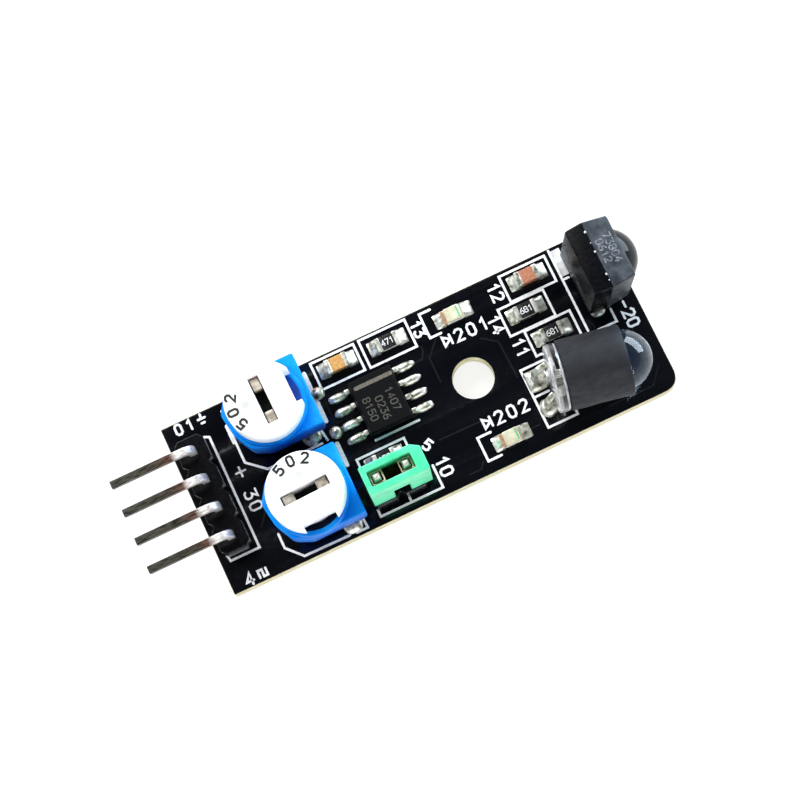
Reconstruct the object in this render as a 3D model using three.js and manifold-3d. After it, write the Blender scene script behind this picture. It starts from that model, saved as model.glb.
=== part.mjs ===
// Infrared obstacle sensor board: a small circuit board with an emitter and a receiver at one end, a four-pin
// connector at the other, two trimmers, a timer chip, an enable jumper and a few surface-mounted parts.
// Millimetres, +Z up. The origin is the centre of the board's underside and +X points to the sensor end.

import * as THREE from 'three';
import Module from 'manifold-3d';
import { ConvexGeometry } from 'three/addons/geometries/ConvexGeometry.js';
import { mergeVertices } from 'three/addons/utils/BufferGeometryUtils.js';

const wasm = await Module();
wasm.setup();

// ---- Driving dimensions ----

const PITCH = 2.54;                 // connector pitch, 0.1 inch
const PIN = 0.64;                   // side of a square connector pin
const GAP = 0.03;                   // clearance between parts that sit against each other
const LEAD_DEPTH = 1.3;             // how far every trimmed lead stands below the board
const MARGIN = 0.1;                 // how far a cutting solid runs past the face it cuts

const BOARD = { length: 1.6 * 25.4, width: 0.6 * 25.4, thickness: 1.6, cornerRadius: 1.5 };
const MOUNT_HOLE = { x: 5.08, y: 0.31, diameter: 3.5 };
const TOP = BOARD.thickness;        // height of the board's top face

const HEADER = { x: -18.45, y: 0.39, pins: 4, plasticHeight: 2.54, chamfer: 0.4 };
const HEADER_PIN = { height: 3.88, reach: -25.49, bendRadius: 0.55, holeDiameter: 1.02 };

const JUMPER = { x: -4.49, y: -5.17, pins: 2, plasticHeight: 2.54, pinTop: 8.35 };
const CAP = { east: 2.85, west: 2.35, halfWidth: 1.2, bottom: 2.6, top: 8.6, chamfer: 0.45 };
const CAP_CAVITY = { halfLength: 1.88, halfWidth: 0.64 };
const CAP_WINDOW = { x: 0.25, width: 1.4, height: 3 };
const CLIP = { bottom: 4.4, top: 7.8, halfLength: 1.82, halfWidth: 0.59, throat: 0.68, throatDepth: 1 };
const CLIP_SOCKET = { inner: 0.8, outer: 1.68, halfWidth: 0.38 };

const TRIMMERS = [
  { x: -11.32, y: 4.6, housingTurn: 0, rotorTurn: 91 },
  { x: -11.32, y: -3.53, housingTurn: 0, rotorTurn: 2 },
];
const HOUSING = { bottom: 1, top: 4.2, floor: 1.9 };
const HOUSING_OUTLINE = [[3.67, -3.15], [3.67, 3.25], [-1, 3.25], [-2.75, 2.6], [-3.75, 1], [-3.45, -0.95],
  [-2.6, -2.6], [-1.2, -3.2]];
const COLLAR = { radius: 3.35, bottom: 3.8, top: 5.05 };
const BORE_RADIUS = 2.95;
const PIVOT = { radius: 0.5, top: 3 };
const WAFER = { radius: 2.85, thickness: 0.42, holeRadius: 0.62 };
const ROTOR = { drumRadius: 2.3, drumBottom: 3.08, rimRadius: 3.17, rimBottom: 5.15, top: 7.5 };
const ROTOR_SLOT = { length: 4.1, width: 0.9 };
const ROTOR_NOTCH = { inner: 2.34, width: 2.8 };
const WIPER = { radius: 2.3, bottom: 2.76, thickness: 0.18, holeRadius: 0.6, footRadius: 1.9, foot: 0.4 };
const CROWN = { halfLength: 1.92, tab: 0.95, width: 0.7, arch: 3.5, bar: 5.6, top: 6.9 };
const TERMINAL = { width: 0.7, thickness: 0.3, shoulder: 1.15, pocketTop: 1.6, holeDiameter: 0.95 };
const TERMINAL_PLACES = [[2.2, -2.4], [2.2, 2.4], [-2.8, 0]];

const CHIP = { x: -2.72, y: 1.757, width: 3.9, length: 4.9, bottom: 0.1, top: 1.55, draft: 0.14 };
const CHIP_LEAD = { pitch: 1.27, perSide: 4, width: 0.42, thickness: 0.2, height: 0.72, knee: 2.4, tip: 3 };

const CHIP_PART = { length: 2, width: 1.25, endLength: 0.42, endStep: 0.03 };
const RESISTOR_HEIGHT = 0.5;
const CAPACITOR_HEIGHT = 0.85;
const LAMP = { base: 0.3, height: 0.75, lensLength: 1.3, lensDraft: 0.12 };

const EMITTER = { x: 10.46, y: -3.09, axisHeight: 3.05, turn: -10.5, flangeRadius: 2.9, flangeLength: 1 };
const EMITTER_LENS = { radius: 2.5, length: 8.55, flangeFlat: 2.55 };
const SLEEVE = { start: 1.04, end: 6.35, outerRadius: 2.95, innerRadius: 2.56 };
const EMITTER_LEAD = { size: 0.5, bendRadius: 0.3, x: 9.55, y: -3.3, holeDiameter: 0.86 };

const RECEIVER = { x: 16, y: 3.72, lean: 2.5 };
const RECEIVER_BLOCK = { parting: 1.53, front: 3.7, halfWidth: 2.98, bottom: 0.5, top: 7.25 };
const RECEIVER_DRAFT = { rear: 0.12, front: 0.25 };
const RECEIVER_LENS = { radius: 2.55, centreHeight: 4.1, reach: 5.23 };
const RECEIVER_LEAD = { x: 16.85, room: 0.1, width: 0.5, thickness: 0.4, holeDiameter: 0.9 };

const ROUND = 48;                   // facets around a part that shows
const INNER = 32;                   // facets around a hidden or small round part
const DRILLED = 12;                 // facets around a drilled lead hole

// ---- Finishes ----

const finish = (color, roughness, metalness = 0) =>
  new THREE.MeshStandardMaterial({ color, roughness, metalness });

const FINISH = {
  board: () => finish(0x0b0e12, 0.35),
  blackPlastic: () => finish(0x121314, 0.4),
  tinned: () => finish(0xb9bab4, 0.3, 1),
  pinMetal: () => finish(0x8b877a, 0.35, 1),
  brass: () => finish(0xb59a66, 0.35, 1),
  blue: () => finish(0x0f6fe0, 0.4),
  white: () => finish(0xf4f5f4, 0.5),
  wafer: () => finish(0x4a3020, 0.7),
  green: () => finish(0x49dca0, 0.45),
  chip: () => finish(0x24262a, 0.6),
  resistor: () => finish(0x1a1a1c, 0.5),
  tan: () => finish(0xb98545, 0.6),
  brown: () => finish(0xa9644a, 0.6),
  lamp: () => finish(0xf0ead6, 0.35),
  sleeve: () => finish(0x3a3a40, 0.8),
  clear: () => finish(0xdfe8ee, 0.08),
  smoke: () => finish(0x23262b, 0.3),
};

// ---- Geometry helpers ----

function solidOf(geometry) {
  const bare = geometry.clone();
  bare.deleteAttribute('normal');
  bare.deleteAttribute('uv');
  const merged = mergeVertices(bare, 1e-5);
  const vertProperties = new Float32Array(merged.attributes.position.array);
  const triVerts = new Uint32Array(merged.index.array);
  return new wasm.Manifold(new wasm.Mesh({ numProp: 3, vertProperties, triVerts }));
}

function geometryOf(solid) {
  const mesh = solid.getMesh();
  const geometry = new THREE.BufferGeometry();
  geometry.setAttribute('position', new THREE.BufferAttribute(mesh.vertProperties, 3));
  geometry.setIndex(new THREE.BufferAttribute(mesh.triVerts, 1));
  return geometry;
}

function combine(added, removed = []) {
  let solid = solidOf(added[0]);
  for (const geometry of added.slice(1)) {
    solid = solid.add(solidOf(geometry));
  }
  for (const geometry of removed) {
    solid = solid.subtract(solidOf(geometry));
  }
  return geometryOf(solid);
}

function box(x0, x1, y0, y1, z0, z1) {
  const geometry = new THREE.BoxGeometry(x1 - x0, y1 - y0, z1 - z0);
  return geometry.translate((x0 + x1) / 2, (y0 + y1) / 2, (z0 + z1) / 2);
}

function disc(radius, z0, z1, facets = INNER) {
  const geometry = new THREE.CylinderGeometry(radius, radius, z1 - z0, facets);
  return geometry.rotateX(Math.PI / 2).translate(0, 0, (z0 + z1) / 2);
}

function polygon(points) {
  return new THREE.Shape(points.map(([x, y]) => new THREE.Vector2(x, y)));
}

// A plan outline raised from z0 to z1.
function slab(shape, z0, z1, facets = DRILLED) {
  const options = { depth: z1 - z0, bevelEnabled: false, curveSegments: facets };
  return new THREE.ExtrudeGeometry(shape, options).translate(0, 0, z0);
}

// A side outline, drawn in X and Z, given a thickness across Y and centred on it.
function sideSlab(shape, thickness, facets = 5) {
  const options = { depth: thickness, bevelEnabled: false, curveSegments: facets };
  const geometry = new THREE.ExtrudeGeometry(shape, options);
  return geometry.rotateX(Math.PI / 2).translate(0, thickness / 2, 0);
}

// A box whose two end faces, square to X, differ in size: [halfY, zLow, zHigh] at x0 and at x1.
function taperedBox(x0, face0, x1, face1) {
  const corners = [];
  for (const [x, [halfY, low, high]] of [[x0, face0], [x1, face1]]) {
    for (const y of [-halfY, halfY]) {
      corners.push(new THREE.Vector3(x, y, low), new THREE.Vector3(x, y, high));
    }
  }
  return new ConvexGeometry(corners);
}

function roundHole(x, y, diameter) {
  return new THREE.Path().absarc(x, y, diameter / 2, 0, 2 * Math.PI, true);
}

function piece(name, geometry, material, position = [0, 0, 0]) {
  const mesh = new THREE.Mesh(geometry, material);
  mesh.name = name;
  mesh.position.set(...position);
  return mesh;
}

function groupAt(x, y, z, turnDegrees, ...children) {
  const group = new THREE.Group();
  group.position.set(x, y, z);
  group.rotation.z = THREE.MathUtils.degToRad(turnDegrees);
  group.add(...children);
  return group;
}

// Offsets of equally spaced places centred on zero, the highest first.
function spread(count, pitch) {
  return Array.from({ length: count }, (_, i) => ((count - 1) / 2 - i) * pitch);
}

function turned([x, y], degrees) {
  const point = new THREE.Vector2(x, y);
  point.rotateAround(new THREE.Vector2(), THREE.MathUtils.degToRad(degrees));
  return [point.x, point.y];
}

// ---- Circuit board ----

function leadHoles() {
  const holes = [];
  for (const offset of spread(HEADER.pins, PITCH)) {
    holes.push(roundHole(HEADER.x, HEADER.y + offset, HEADER_PIN.holeDiameter));
  }
  for (const offset of spread(JUMPER.pins, PITCH)) {
    holes.push(roundHole(JUMPER.x + offset, JUMPER.y, HEADER_PIN.holeDiameter));
  }
  for (const trimmer of TRIMMERS) {
    for (const place of TERMINAL_PLACES) {
      const [x, y] = turned(place, trimmer.housingTurn);
      holes.push(roundHole(trimmer.x + x, trimmer.y + y, TERMINAL.holeDiameter));
    }
  }
  for (const offset of spread(2, PITCH)) {
    holes.push(roundHole(EMITTER_LEAD.x, EMITTER_LEAD.y + offset, EMITTER_LEAD.holeDiameter));
  }
  for (const offset of spread(3, PITCH)) {
    holes.push(roundHole(RECEIVER_LEAD.x, RECEIVER.y + offset, RECEIVER_LEAD.holeDiameter));
  }
  return holes;
}

// The connector end has square corners and the sensor end has round ones.
function circuitBoard() {
  const halfLength = BOARD.length / 2;
  const halfWidth = BOARD.width / 2;
  const radius = BOARD.cornerRadius;
  const outline = new THREE.Shape();
  outline.moveTo(-halfLength, -halfWidth);
  outline.lineTo(halfLength - radius, -halfWidth);
  outline.absarc(halfLength - radius, radius - halfWidth, radius, -Math.PI / 2, 0);
  outline.absarc(halfLength - radius, halfWidth - radius, radius, 0, Math.PI / 2);
  outline.lineTo(-halfLength, halfWidth);
  const plate = slab(outline, 0, BOARD.thickness, DRILLED);
  const drills = [disc(MOUNT_HOLE.diameter / 2, -MARGIN, TOP + MARGIN, ROUND)];
  drills[0].translate(MOUNT_HOLE.x, MOUNT_HOLE.y, 0);
  for (const hole of leadHoles()) {
    const drill = new THREE.Shape(hole.getPoints(DRILLED));
    drills.push(slab(drill, -MARGIN, TOP + MARGIN));
  }
  return piece('circuit_board', combine([plate], drills), FINISH.board());
}

// ---- Pin headers ----

// A strip of joined cells along X with nipped corners between them and a square hole in each.
function headerStrip(count, height) {
  const half = PITCH / 2;
  const nip = HEADER.chamfer;
  const lower = [];
  const upper = [];
  for (const centre of spread(count, PITCH).reverse()) {
    lower.push([centre - half, nip - half], [centre - half + nip, -half]);
    lower.push([centre + half - nip, -half], [centre + half, nip - half]);
    upper.push([centre - half, half - nip], [centre - half + nip, half]);
    upper.push([centre + half - nip, half], [centre + half, half - nip]);
  }
  const points = [...lower, ...upper.reverse()];
  const distinct = points.filter(([x, y], i) => {
    const [nextX, nextY] = points[(i + 1) % points.length];
    return Math.hypot(x - nextX, y - nextY) > MARGIN / 10;
  });
  const room = PIN / 2 + GAP;
  const holes = spread(count, PITCH).map((centre) =>
    box(centre - room, centre + room, -room, room, -MARGIN, height + MARGIN));
  return combine([slab(polygon(distinct), GAP, height)], holes);
}

// Straight square pin with pointed ends, from below the board to zTop above it.
function straightPin(zTop) {
  const tip = 0.3;
  const blunt = 0.6;
  const corner = PIN / Math.SQRT2;
  const low = -LEAD_DEPTH;
  const high = TOP + zTop;
  const profile = [[0, low], [corner * blunt, low], [corner, low + tip], [corner, high - tip],
    [corner * blunt, high], [0, high]].map(([r, z]) => new THREE.Vector2(r, z));
  return new THREE.LatheGeometry(profile, 4).rotateX(Math.PI / 2).rotateZ(Math.PI / 4);
}

// Side outline of a wire that rises at x = 0, bends and runs to x = -reach at the given height.
function bentWire(size, bottom, height, reach, innerRadius) {
  const half = size / 2;
  const outerRadius = innerRadius + size;
  const centreX = -half - innerRadius;
  const centreZ = height - half - innerRadius;
  const outline = new THREE.Shape();
  outline.moveTo(half, bottom);
  outline.lineTo(half, centreZ);
  outline.absarc(centreX, centreZ, outerRadius, 0, Math.PI / 2);
  outline.lineTo(-reach, height + half);
  outline.lineTo(-reach, height - half);
  outline.absarc(centreX, centreZ, innerRadius, Math.PI / 2, 0, true);
  outline.lineTo(-half, bottom);
  return sideSlab(outline, size, 6);
}

function connector() {
  const plastic = headerStrip(HEADER.pins, HEADER.plasticHeight).rotateZ(Math.PI / 2);
  const parts = [piece('header_strip', plastic, FINISH.blackPlastic(), [HEADER.x, HEADER.y, TOP])];
  const reach = HEADER.x - HEADER_PIN.reach;
  spread(HEADER.pins, PITCH).forEach((offset, i) => {
    const wire = bentWire(PIN, -LEAD_DEPTH, TOP + HEADER_PIN.height, reach, HEADER_PIN.bendRadius);
    parts.push(piece(`header_pin_${i + 1}`, wire, FINISH.pinMetal(), [HEADER.x, HEADER.y + offset, 0]));
  });
  return parts;
}

// ---- Jumper ----

function jumperCap() {
  const { east, west, halfWidth, chamfer } = CAP;
  const outline = polygon([[-west, -halfWidth], [east, -halfWidth], [east, halfWidth - chamfer],
    [east - 1.6 * chamfer, halfWidth], [-west, halfWidth]]);
  const below = CAP.bottom - MARGIN;
  const cavity = box(-CAP_CAVITY.halfLength, CAP_CAVITY.halfLength, -CAP_CAVITY.halfWidth,
    CAP_CAVITY.halfWidth, below, CAP.top + MARGIN);
  const halfWindow = CAP_WINDOW.width / 2;
  const window = box(CAP_WINDOW.x - halfWindow, CAP_WINDOW.x + halfWindow, -halfWidth - MARGIN, 0,
    below, CAP.bottom + CAP_WINDOW.height);
  return combine([slab(outline, CAP.bottom, CAP.top)], [cavity, window]);
}

function jumperClip() {
  const { halfLength, halfWidth, bottom, top, throat, throatDepth } = CLIP;
  const { inner, outer } = CLIP_SOCKET;
  const block = box(-halfLength, halfLength, -halfWidth, halfWidth, bottom, top);
  const sockets = [[inner, outer], [-outer, -inner]].map(([x0, x1]) =>
    box(x0, x1, -CLIP_SOCKET.halfWidth, CLIP_SOCKET.halfWidth, bottom - MARGIN, top + MARGIN));
  const notch = box(-throat, throat, -halfWidth - MARGIN, halfWidth + MARGIN, top - throatDepth, top + MARGIN);
  return combine([block], [...sockets, notch]);
}

function jumper() {
  const base = headerStrip(JUMPER.pins, JUMPER.plasticHeight);
  const place = [JUMPER.x, JUMPER.y, TOP];
  const parts = [
    piece('jumper_header_base', base, FINISH.blackPlastic(), place),
    piece('jumper_cap', jumperCap(), FINISH.green(), place),
    piece('jumper_clip', jumperClip(), FINISH.brass(), place),
  ];
  spread(JUMPER.pins, PITCH).reverse().forEach((offset, i) => {
    const pin = straightPin(JUMPER.pinTop);
    parts.push(piece(`jumper_pin_${i + 1}`, pin, FINISH.pinMetal(), [JUMPER.x + offset, JUMPER.y, 0]));
  });
  return parts;
}

// ---- Trimmers ----

function terminalPocket([x, y]) {
  const halfWidth = TERMINAL.width / 2 + GAP;
  const halfThickness = TERMINAL.thickness / 2 + GAP;
  const top = TERMINAL.pocketTop + GAP;
  return box(x - halfWidth, x + halfWidth, y - halfThickness, y + halfThickness, -MARGIN, top);
}

// Square towards +X, with the two corners towards -X cut back round the rotor.
function trimmerHousing() {
  const body = slab(polygon(HOUSING_OUTLINE), HOUSING.bottom, HOUSING.top);
  const collar = disc(COLLAR.radius, COLLAR.bottom, COLLAR.top, ROUND);
  const bore = disc(BORE_RADIUS, HOUSING.floor, COLLAR.top + MARGIN);
  const post = disc(PIVOT.radius, (HOUSING.bottom + HOUSING.floor) / 2, PIVOT.top, DRILLED);
  const shell = combine([body, collar], [bore, ...TERMINAL_PLACES.map(terminalPocket)]);
  return combine([shell, post]);
}

function resistiveWafer() {
  const outline = new THREE.Shape().absarc(0, 0, WAFER.radius, 0, 2 * Math.PI);
  outline.holes.push(roundHole(0, 0, 2 * WAFER.holeRadius));
  const bottom = HOUSING.floor + GAP;
  return slab(outline, bottom, bottom + WAFER.thickness, INNER);
}

function trimmerRotor() {
  const drum = disc(ROTOR.drumRadius, ROTOR.drumBottom, ROTOR.rimBottom + MARGIN);
  const rim = disc(ROTOR.rimRadius, ROTOR.rimBottom, ROTOR.top, ROUND);
  const halfLength = ROTOR_SLOT.length / 2;
  const halfSlot = ROTOR_SLOT.width / 2;
  const halfNotch = ROTOR_NOTCH.width / 2;
  const slot = box(-halfLength, halfLength, -halfSlot, halfSlot, 0, ROTOR.top + MARGIN);
  const notch = box(-halfNotch, halfNotch, -ROTOR.rimRadius - MARGIN, -ROTOR_NOTCH.inner,
    ROTOR.rimBottom - MARGIN / 2, ROTOR.top + MARGIN);
  const socket = disc(PIVOT.radius + 3 * GAP, 0, PIVOT.top + MARGIN);
  return combine([drum, rim], [slot, notch, socket]);
}

// Spring plate with two contact feet and a crown that stands up in the rotor's slot and turns with it.
function trimmerWiper() {
  const outline = new THREE.Shape().absarc(0, 0, WIPER.radius, 0, 2 * Math.PI);
  outline.holes.push(roundHole(0, 0, 2 * WIPER.holeRadius));
  const plateTop = WIPER.bottom + WIPER.thickness;
  const plate = slab(outline, WIPER.bottom, plateTop, INNER);
  const { halfLength, tab, arch, bar, top } = CROWN;
  const inner = halfLength - tab;
  const low = WIPER.bottom + WIPER.thickness / 2;
  const crown = sideSlab(polygon([[-halfLength, low], [-inner, low], [-inner, arch], [inner, arch],
    [inner, low], [halfLength, low], [halfLength, top], [inner, top], [inner, bar], [-inner, bar],
    [-inner, top], [-halfLength, top]]), CROWN.width);
  const footBottom = HOUSING.floor + WAFER.thickness + 2 * GAP;
  const half = WIPER.foot / 2;
  const feet = [-1, 1].map((side) => {
    const y = side * WIPER.footRadius;
    return box(-half, half, y - half, y + half, footBottom, low);
  });
  return combine([plate, crown, ...feet]);
}

// Flat tinned leg with a shoulder that sits on the board and a tongue inside the housing.
function trimmerTerminal() {
  const half = TERMINAL.width / 2;
  const shoulder = TERMINAL.shoulder / 2;
  const rest = TOP + GAP;
  const under = TOP + HOUSING.bottom - GAP;
  const tongue = TOP + TERMINAL.pocketTop;
  return sideSlab(polygon([[-half, -LEAD_DEPTH], [half, -LEAD_DEPTH], [half, rest], [shoulder, rest],
    [shoulder, under], [half, under], [half, tongue], [-half, tongue], [-half, under],
    [-shoulder, under], [-shoulder, rest], [-half, rest]]), TERMINAL.thickness);
}

function trimmer(place, number) {
  const label = `trimmer_${number}`;
  const rotorTurn = THREE.MathUtils.degToRad(place.rotorTurn - place.housingTurn);
  const rotor = piece(`${label}_rotor`, trimmerRotor(), FINISH.white(), [0, 0, TOP]);
  const wiper = piece(`${label}_wiper`, trimmerWiper(), FINISH.brass(), [0, 0, TOP]);
  rotor.rotation.z = rotorTurn;
  wiper.rotation.z = rotorTurn;
  const parts = [
    piece(`${label}_housing`, trimmerHousing(), FINISH.blue(), [0, 0, TOP]),
    piece(`${label}_wafer`, resistiveWafer(), FINISH.wafer(), [0, 0, TOP]),
    rotor,
    wiper,
  ];
  TERMINAL_PLACES.forEach(([x, y], i) => {
    parts.push(piece(`${label}_terminal_${i + 1}`, trimmerTerminal(), FINISH.tinned(), [x, y, 0]));
  });
  return groupAt(place.x, place.y, 0, place.housingTurn, ...parts);
}

// ---- Timer chip ----

function chipBody() {
  const middle = (CHIP.bottom + CHIP.top) / 2;
  const halfX = CHIP.width / 2;
  const halfY = CHIP.length / 2;
  const corners = [];
  for (const [z, inset] of [[CHIP.bottom, CHIP.draft], [middle, 0], [CHIP.top, CHIP.draft]]) {
    for (const sideX of [-1, 1]) {
      for (const sideY of [-1, 1]) {
        corners.push(new THREE.Vector3(sideX * (halfX - inset), sideY * (halfY - inset), z));
      }
    }
  }
  return new ConvexGeometry(corners);
}

function gullWingLead() {
  const { thickness, height, knee, tip } = CHIP_LEAD;
  const root = CHIP.width / 2 + GAP;
  const slope = 0.12;
  return sideSlab(polygon([[root, height], [knee, height], [knee + slope, thickness + GAP],
    [tip, thickness + GAP], [tip, GAP], [knee + slope - thickness, GAP],
    [knee - thickness, height - thickness], [root, height - thickness]].reverse()), CHIP_LEAD.width);
}

function timerChip() {
  const parts = [piece('timer_chip_body', chipBody(), FINISH.chip())];
  const rows = spread(CHIP_LEAD.perSide, CHIP_LEAD.pitch);
  for (const side of [-1, 1]) {
    rows.forEach((offset, i) => {
      const number = side < 0 ? i + 1 : 2 * CHIP_LEAD.perSide - i;
      const lead = piece(`timer_chip_lead_${number}`, gullWingLead(), FINISH.tinned(), [0, offset, 0]);
      lead.rotation.z = side < 0 ? Math.PI : 0;
      parts.push(lead);
    });
  }
  return groupAt(CHIP.x, CHIP.y, TOP, 0, ...parts);
}

// ---- Surface-mounted parts ----

// Rectangular part whose plated ends stand a little proud of its middle.
function chipPart(height) {
  const half = CHIP_PART.length / 2;
  const inner = half - CHIP_PART.endLength;
  const step = CHIP_PART.endStep;
  return sideSlab(polygon([[-half, GAP], [-inner, GAP], [-inner, GAP + step], [inner, GAP + step],
    [inner, GAP], [half, GAP], [half, height], [inner, height], [inner, height - step],
    [-inner, height - step], [-inner, height], [-half, height]]), CHIP_PART.width);
}

// Thin base plate with a moulded lens block on it.
function indicatorLamp() {
  const half = CHIP_PART.length / 2;
  const lensBottom = LAMP.lensLength / 2;
  const lensTop = lensBottom - LAMP.lensDraft;
  return sideSlab(polygon([[-half, GAP], [half, GAP], [half, LAMP.base], [lensBottom, LAMP.base],
    [lensTop, LAMP.height], [-lensTop, LAMP.height], [-lensBottom, LAMP.base], [-half, LAMP.base]]),
  CHIP_PART.width);
}

function surfaceParts() {
  const resistor = () => chipPart(RESISTOR_HEIGHT);
  const capacitor = () => chipPart(CAPACITOR_HEIGHT);
  return [
    piece('capacitor_1', capacitor(), FINISH.tan(), [-4.66, 6.25, TOP]),
    piece('capacitor_2', capacitor(), FINISH.brown(), [12.83, 6.15, TOP]),
    piece('resistor_1', resistor(), FINISH.resistor(), [-0.08, 6.15, TOP]),
    piece('resistor_2', resistor(), FINISH.resistor(), [11.5, 3.6, TOP]),
    piece('resistor_3', resistor(), FINISH.resistor(), [12.65, 0.95, TOP]),
    piece('resistor_4', resistor(), FINISH.resistor(), [-4.41, -2.7, TOP]),
    piece('power_lamp', indicatorLamp(), FINISH.lamp(), [5.85, 5.92, TOP]),
    piece('signal_lamp', indicatorLamp(), FINISH.lamp(), [5.8, -5.58, TOP]),
  ];
}

// ---- Infrared emitter ----

// Round resin body along +X from its flange to its domed tip, with a flat on one side of the flange.
function emitterLens() {
  const { radius, length } = EMITTER_LENS;
  const domeStart = length - radius;
  const domeSteps = 8;
  const profile = [[0, 0], [EMITTER.flangeRadius, 0], [EMITTER.flangeRadius, EMITTER.flangeLength],
    [radius, EMITTER.flangeLength], [radius, domeStart]];
  for (let i = 1; i <= domeSteps; i += 1) {
    const angle = (i / domeSteps) * Math.PI / 2;
    profile.push([radius * Math.cos(angle), domeStart + radius * Math.sin(angle)]);
  }
  profile[profile.length - 1][0] = 0;
  const points = profile.map(([r, along]) => new THREE.Vector2(r, along));
  const body = new THREE.LatheGeometry(points, INNER).rotateZ(-Math.PI / 2);
  const far = EMITTER.flangeRadius + MARGIN;
  const flat = box(-MARGIN, EMITTER.flangeLength + MARGIN, EMITTER_LENS.flangeFlat, far, -far, far);
  return combine([body], [flat]);
}

function emitterSleeve() {
  const outline = new THREE.Shape().absarc(0, 0, SLEEVE.outerRadius, 0, 2 * Math.PI);
  outline.holes.push(roundHole(0, 0, 2 * SLEEVE.innerRadius));
  return slab(outline, SLEEVE.start, SLEEVE.end, INNER).rotateY(Math.PI / 2);
}

// Each lead leaves the back of the flange, turns down and drops through the board.
function emitterLead(offset, number) {
  const [exitX, exitY] = turned([-GAP, offset], EMITTER.turn);
  const exit = new THREE.Vector2(EMITTER.x + exitX, EMITTER.y + exitY);
  const hole = new THREE.Vector2(EMITTER_LEAD.x, EMITTER_LEAD.y + offset);
  const run = exit.clone().sub(hole);
  const height = TOP + EMITTER.axisHeight;
  const wire = bentWire(EMITTER_LEAD.size, -LEAD_DEPTH, height, run.length(), EMITTER_LEAD.bendRadius);
  const lead = piece(`emitter_lead_${number}`, wire, FINISH.tinned(), [hole.x, hole.y, 0]);
  lead.rotation.z = run.angle() + Math.PI;
  return lead;
}

function emitter() {
  const lens = piece('emitter_lens', emitterLens(), FINISH.clear());
  const sleeve = piece('emitter_sleeve', emitterSleeve(), FINISH.sleeve());
  const body = groupAt(EMITTER.x, EMITTER.y, TOP + EMITTER.axisHeight, EMITTER.turn, lens, sleeve);
  const leads = spread(2, PITCH).map((offset, i) => emitterLead(offset, i + 1));
  return [body, ...leads];
}

// ---- Infrared receiver ----

function receiverBody() {
  const { parting, front, halfWidth, bottom, top } = RECEIVER_BLOCK;
  const face = (inset) => [halfWidth - inset, bottom + inset, top - inset];
  const middle = face(0);
  const overlap = 0.01;
  const back = taperedBox(0, face(RECEIVER_DRAFT.rear), parting + overlap, middle);
  const nose = taperedBox(parting, middle, front, face(RECEIVER_DRAFT.front));
  const { radius, centreHeight, reach } = RECEIVER_LENS;
  const lens = new THREE.SphereGeometry(radius, INNER, INNER / 2).rotateZ(-Math.PI / 2);
  lens.translate(reach - radius, 0, centreHeight);
  return combine([back, nose, lens]);
}

// The block leans a little towards the board's edge over its three straight leads.
function receiver() {
  const body = piece('receiver_body', receiverBody(), FINISH.smoke(), [RECEIVER.x, RECEIVER.y, TOP]);
  body.rotation.y = THREE.MathUtils.degToRad(RECEIVER.lean);
  const parts = [body];
  const top = TOP + RECEIVER_BLOCK.bottom - RECEIVER_LEAD.room;
  const halfThickness = RECEIVER_LEAD.thickness / 2;
  const halfWidth = RECEIVER_LEAD.width / 2;
  spread(3, PITCH).forEach((offset, i) => {
    const leg = box(-halfThickness, halfThickness, -halfWidth, halfWidth, -LEAD_DEPTH, top);
    const place = [RECEIVER_LEAD.x, RECEIVER.y + offset, 0];
    parts.push(piece(`receiver_lead_${i + 1}`, leg, FINISH.tinned(), place));
  });
  return parts;
}

// ---- Assembly ----

const sensorBoard = new THREE.Group();
sensorBoard.add(
  circuitBoard(),
  ...connector(),
  ...TRIMMERS.map((place, i) => trimmer(place, i + 1)),
  ...jumper(),
  timerChip(),
  ...surfaceParts(),
  ...emitter(),
  ...receiver(),
);

export default sensorBoard;
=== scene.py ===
"""Looks of the infrared obstacle sensor board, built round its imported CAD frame.

Lengths are millimetres in the CAD's own frame: the origin is the centre of the board's underside, +X points
to the sensor end and +Z up. The mesh builders scale them to metres.
"""
import math

import bmesh
import bpy
from mathutils import Matrix, Vector


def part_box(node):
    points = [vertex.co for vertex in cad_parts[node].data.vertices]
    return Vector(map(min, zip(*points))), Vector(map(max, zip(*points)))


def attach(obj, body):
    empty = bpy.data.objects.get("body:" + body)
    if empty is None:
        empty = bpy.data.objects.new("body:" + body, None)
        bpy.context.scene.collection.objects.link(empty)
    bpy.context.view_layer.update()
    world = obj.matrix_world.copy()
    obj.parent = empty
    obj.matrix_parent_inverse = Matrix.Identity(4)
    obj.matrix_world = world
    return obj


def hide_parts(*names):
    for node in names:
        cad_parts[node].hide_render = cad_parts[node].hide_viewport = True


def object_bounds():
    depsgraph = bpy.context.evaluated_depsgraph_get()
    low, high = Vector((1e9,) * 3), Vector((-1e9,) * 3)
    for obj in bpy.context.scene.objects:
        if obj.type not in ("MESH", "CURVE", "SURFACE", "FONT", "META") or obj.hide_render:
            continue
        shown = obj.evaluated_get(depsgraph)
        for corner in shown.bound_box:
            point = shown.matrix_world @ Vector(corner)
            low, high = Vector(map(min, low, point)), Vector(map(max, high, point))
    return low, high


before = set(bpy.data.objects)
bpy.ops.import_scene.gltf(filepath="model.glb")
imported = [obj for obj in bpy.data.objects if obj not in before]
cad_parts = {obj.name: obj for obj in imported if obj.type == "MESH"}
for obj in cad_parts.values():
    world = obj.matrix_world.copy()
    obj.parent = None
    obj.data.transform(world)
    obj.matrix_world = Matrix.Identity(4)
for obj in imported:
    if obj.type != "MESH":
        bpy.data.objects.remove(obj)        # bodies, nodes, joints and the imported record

CAD_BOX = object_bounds()
MM = 0.001
SCENE = bpy.context.scene


def linked(name, data):
    """A new object in the scene."""
    made = bpy.data.objects.new(name, data)
    SCENE.collection.objects.link(made)
    return made


def node_box(node):
    """Lowest and highest corner of a CAD node, in millimetres."""
    low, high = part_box(node)
    return low / MM, high / MM


def middle(node):
    low, high = node_box(node)
    return (low + high) / 2


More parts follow.
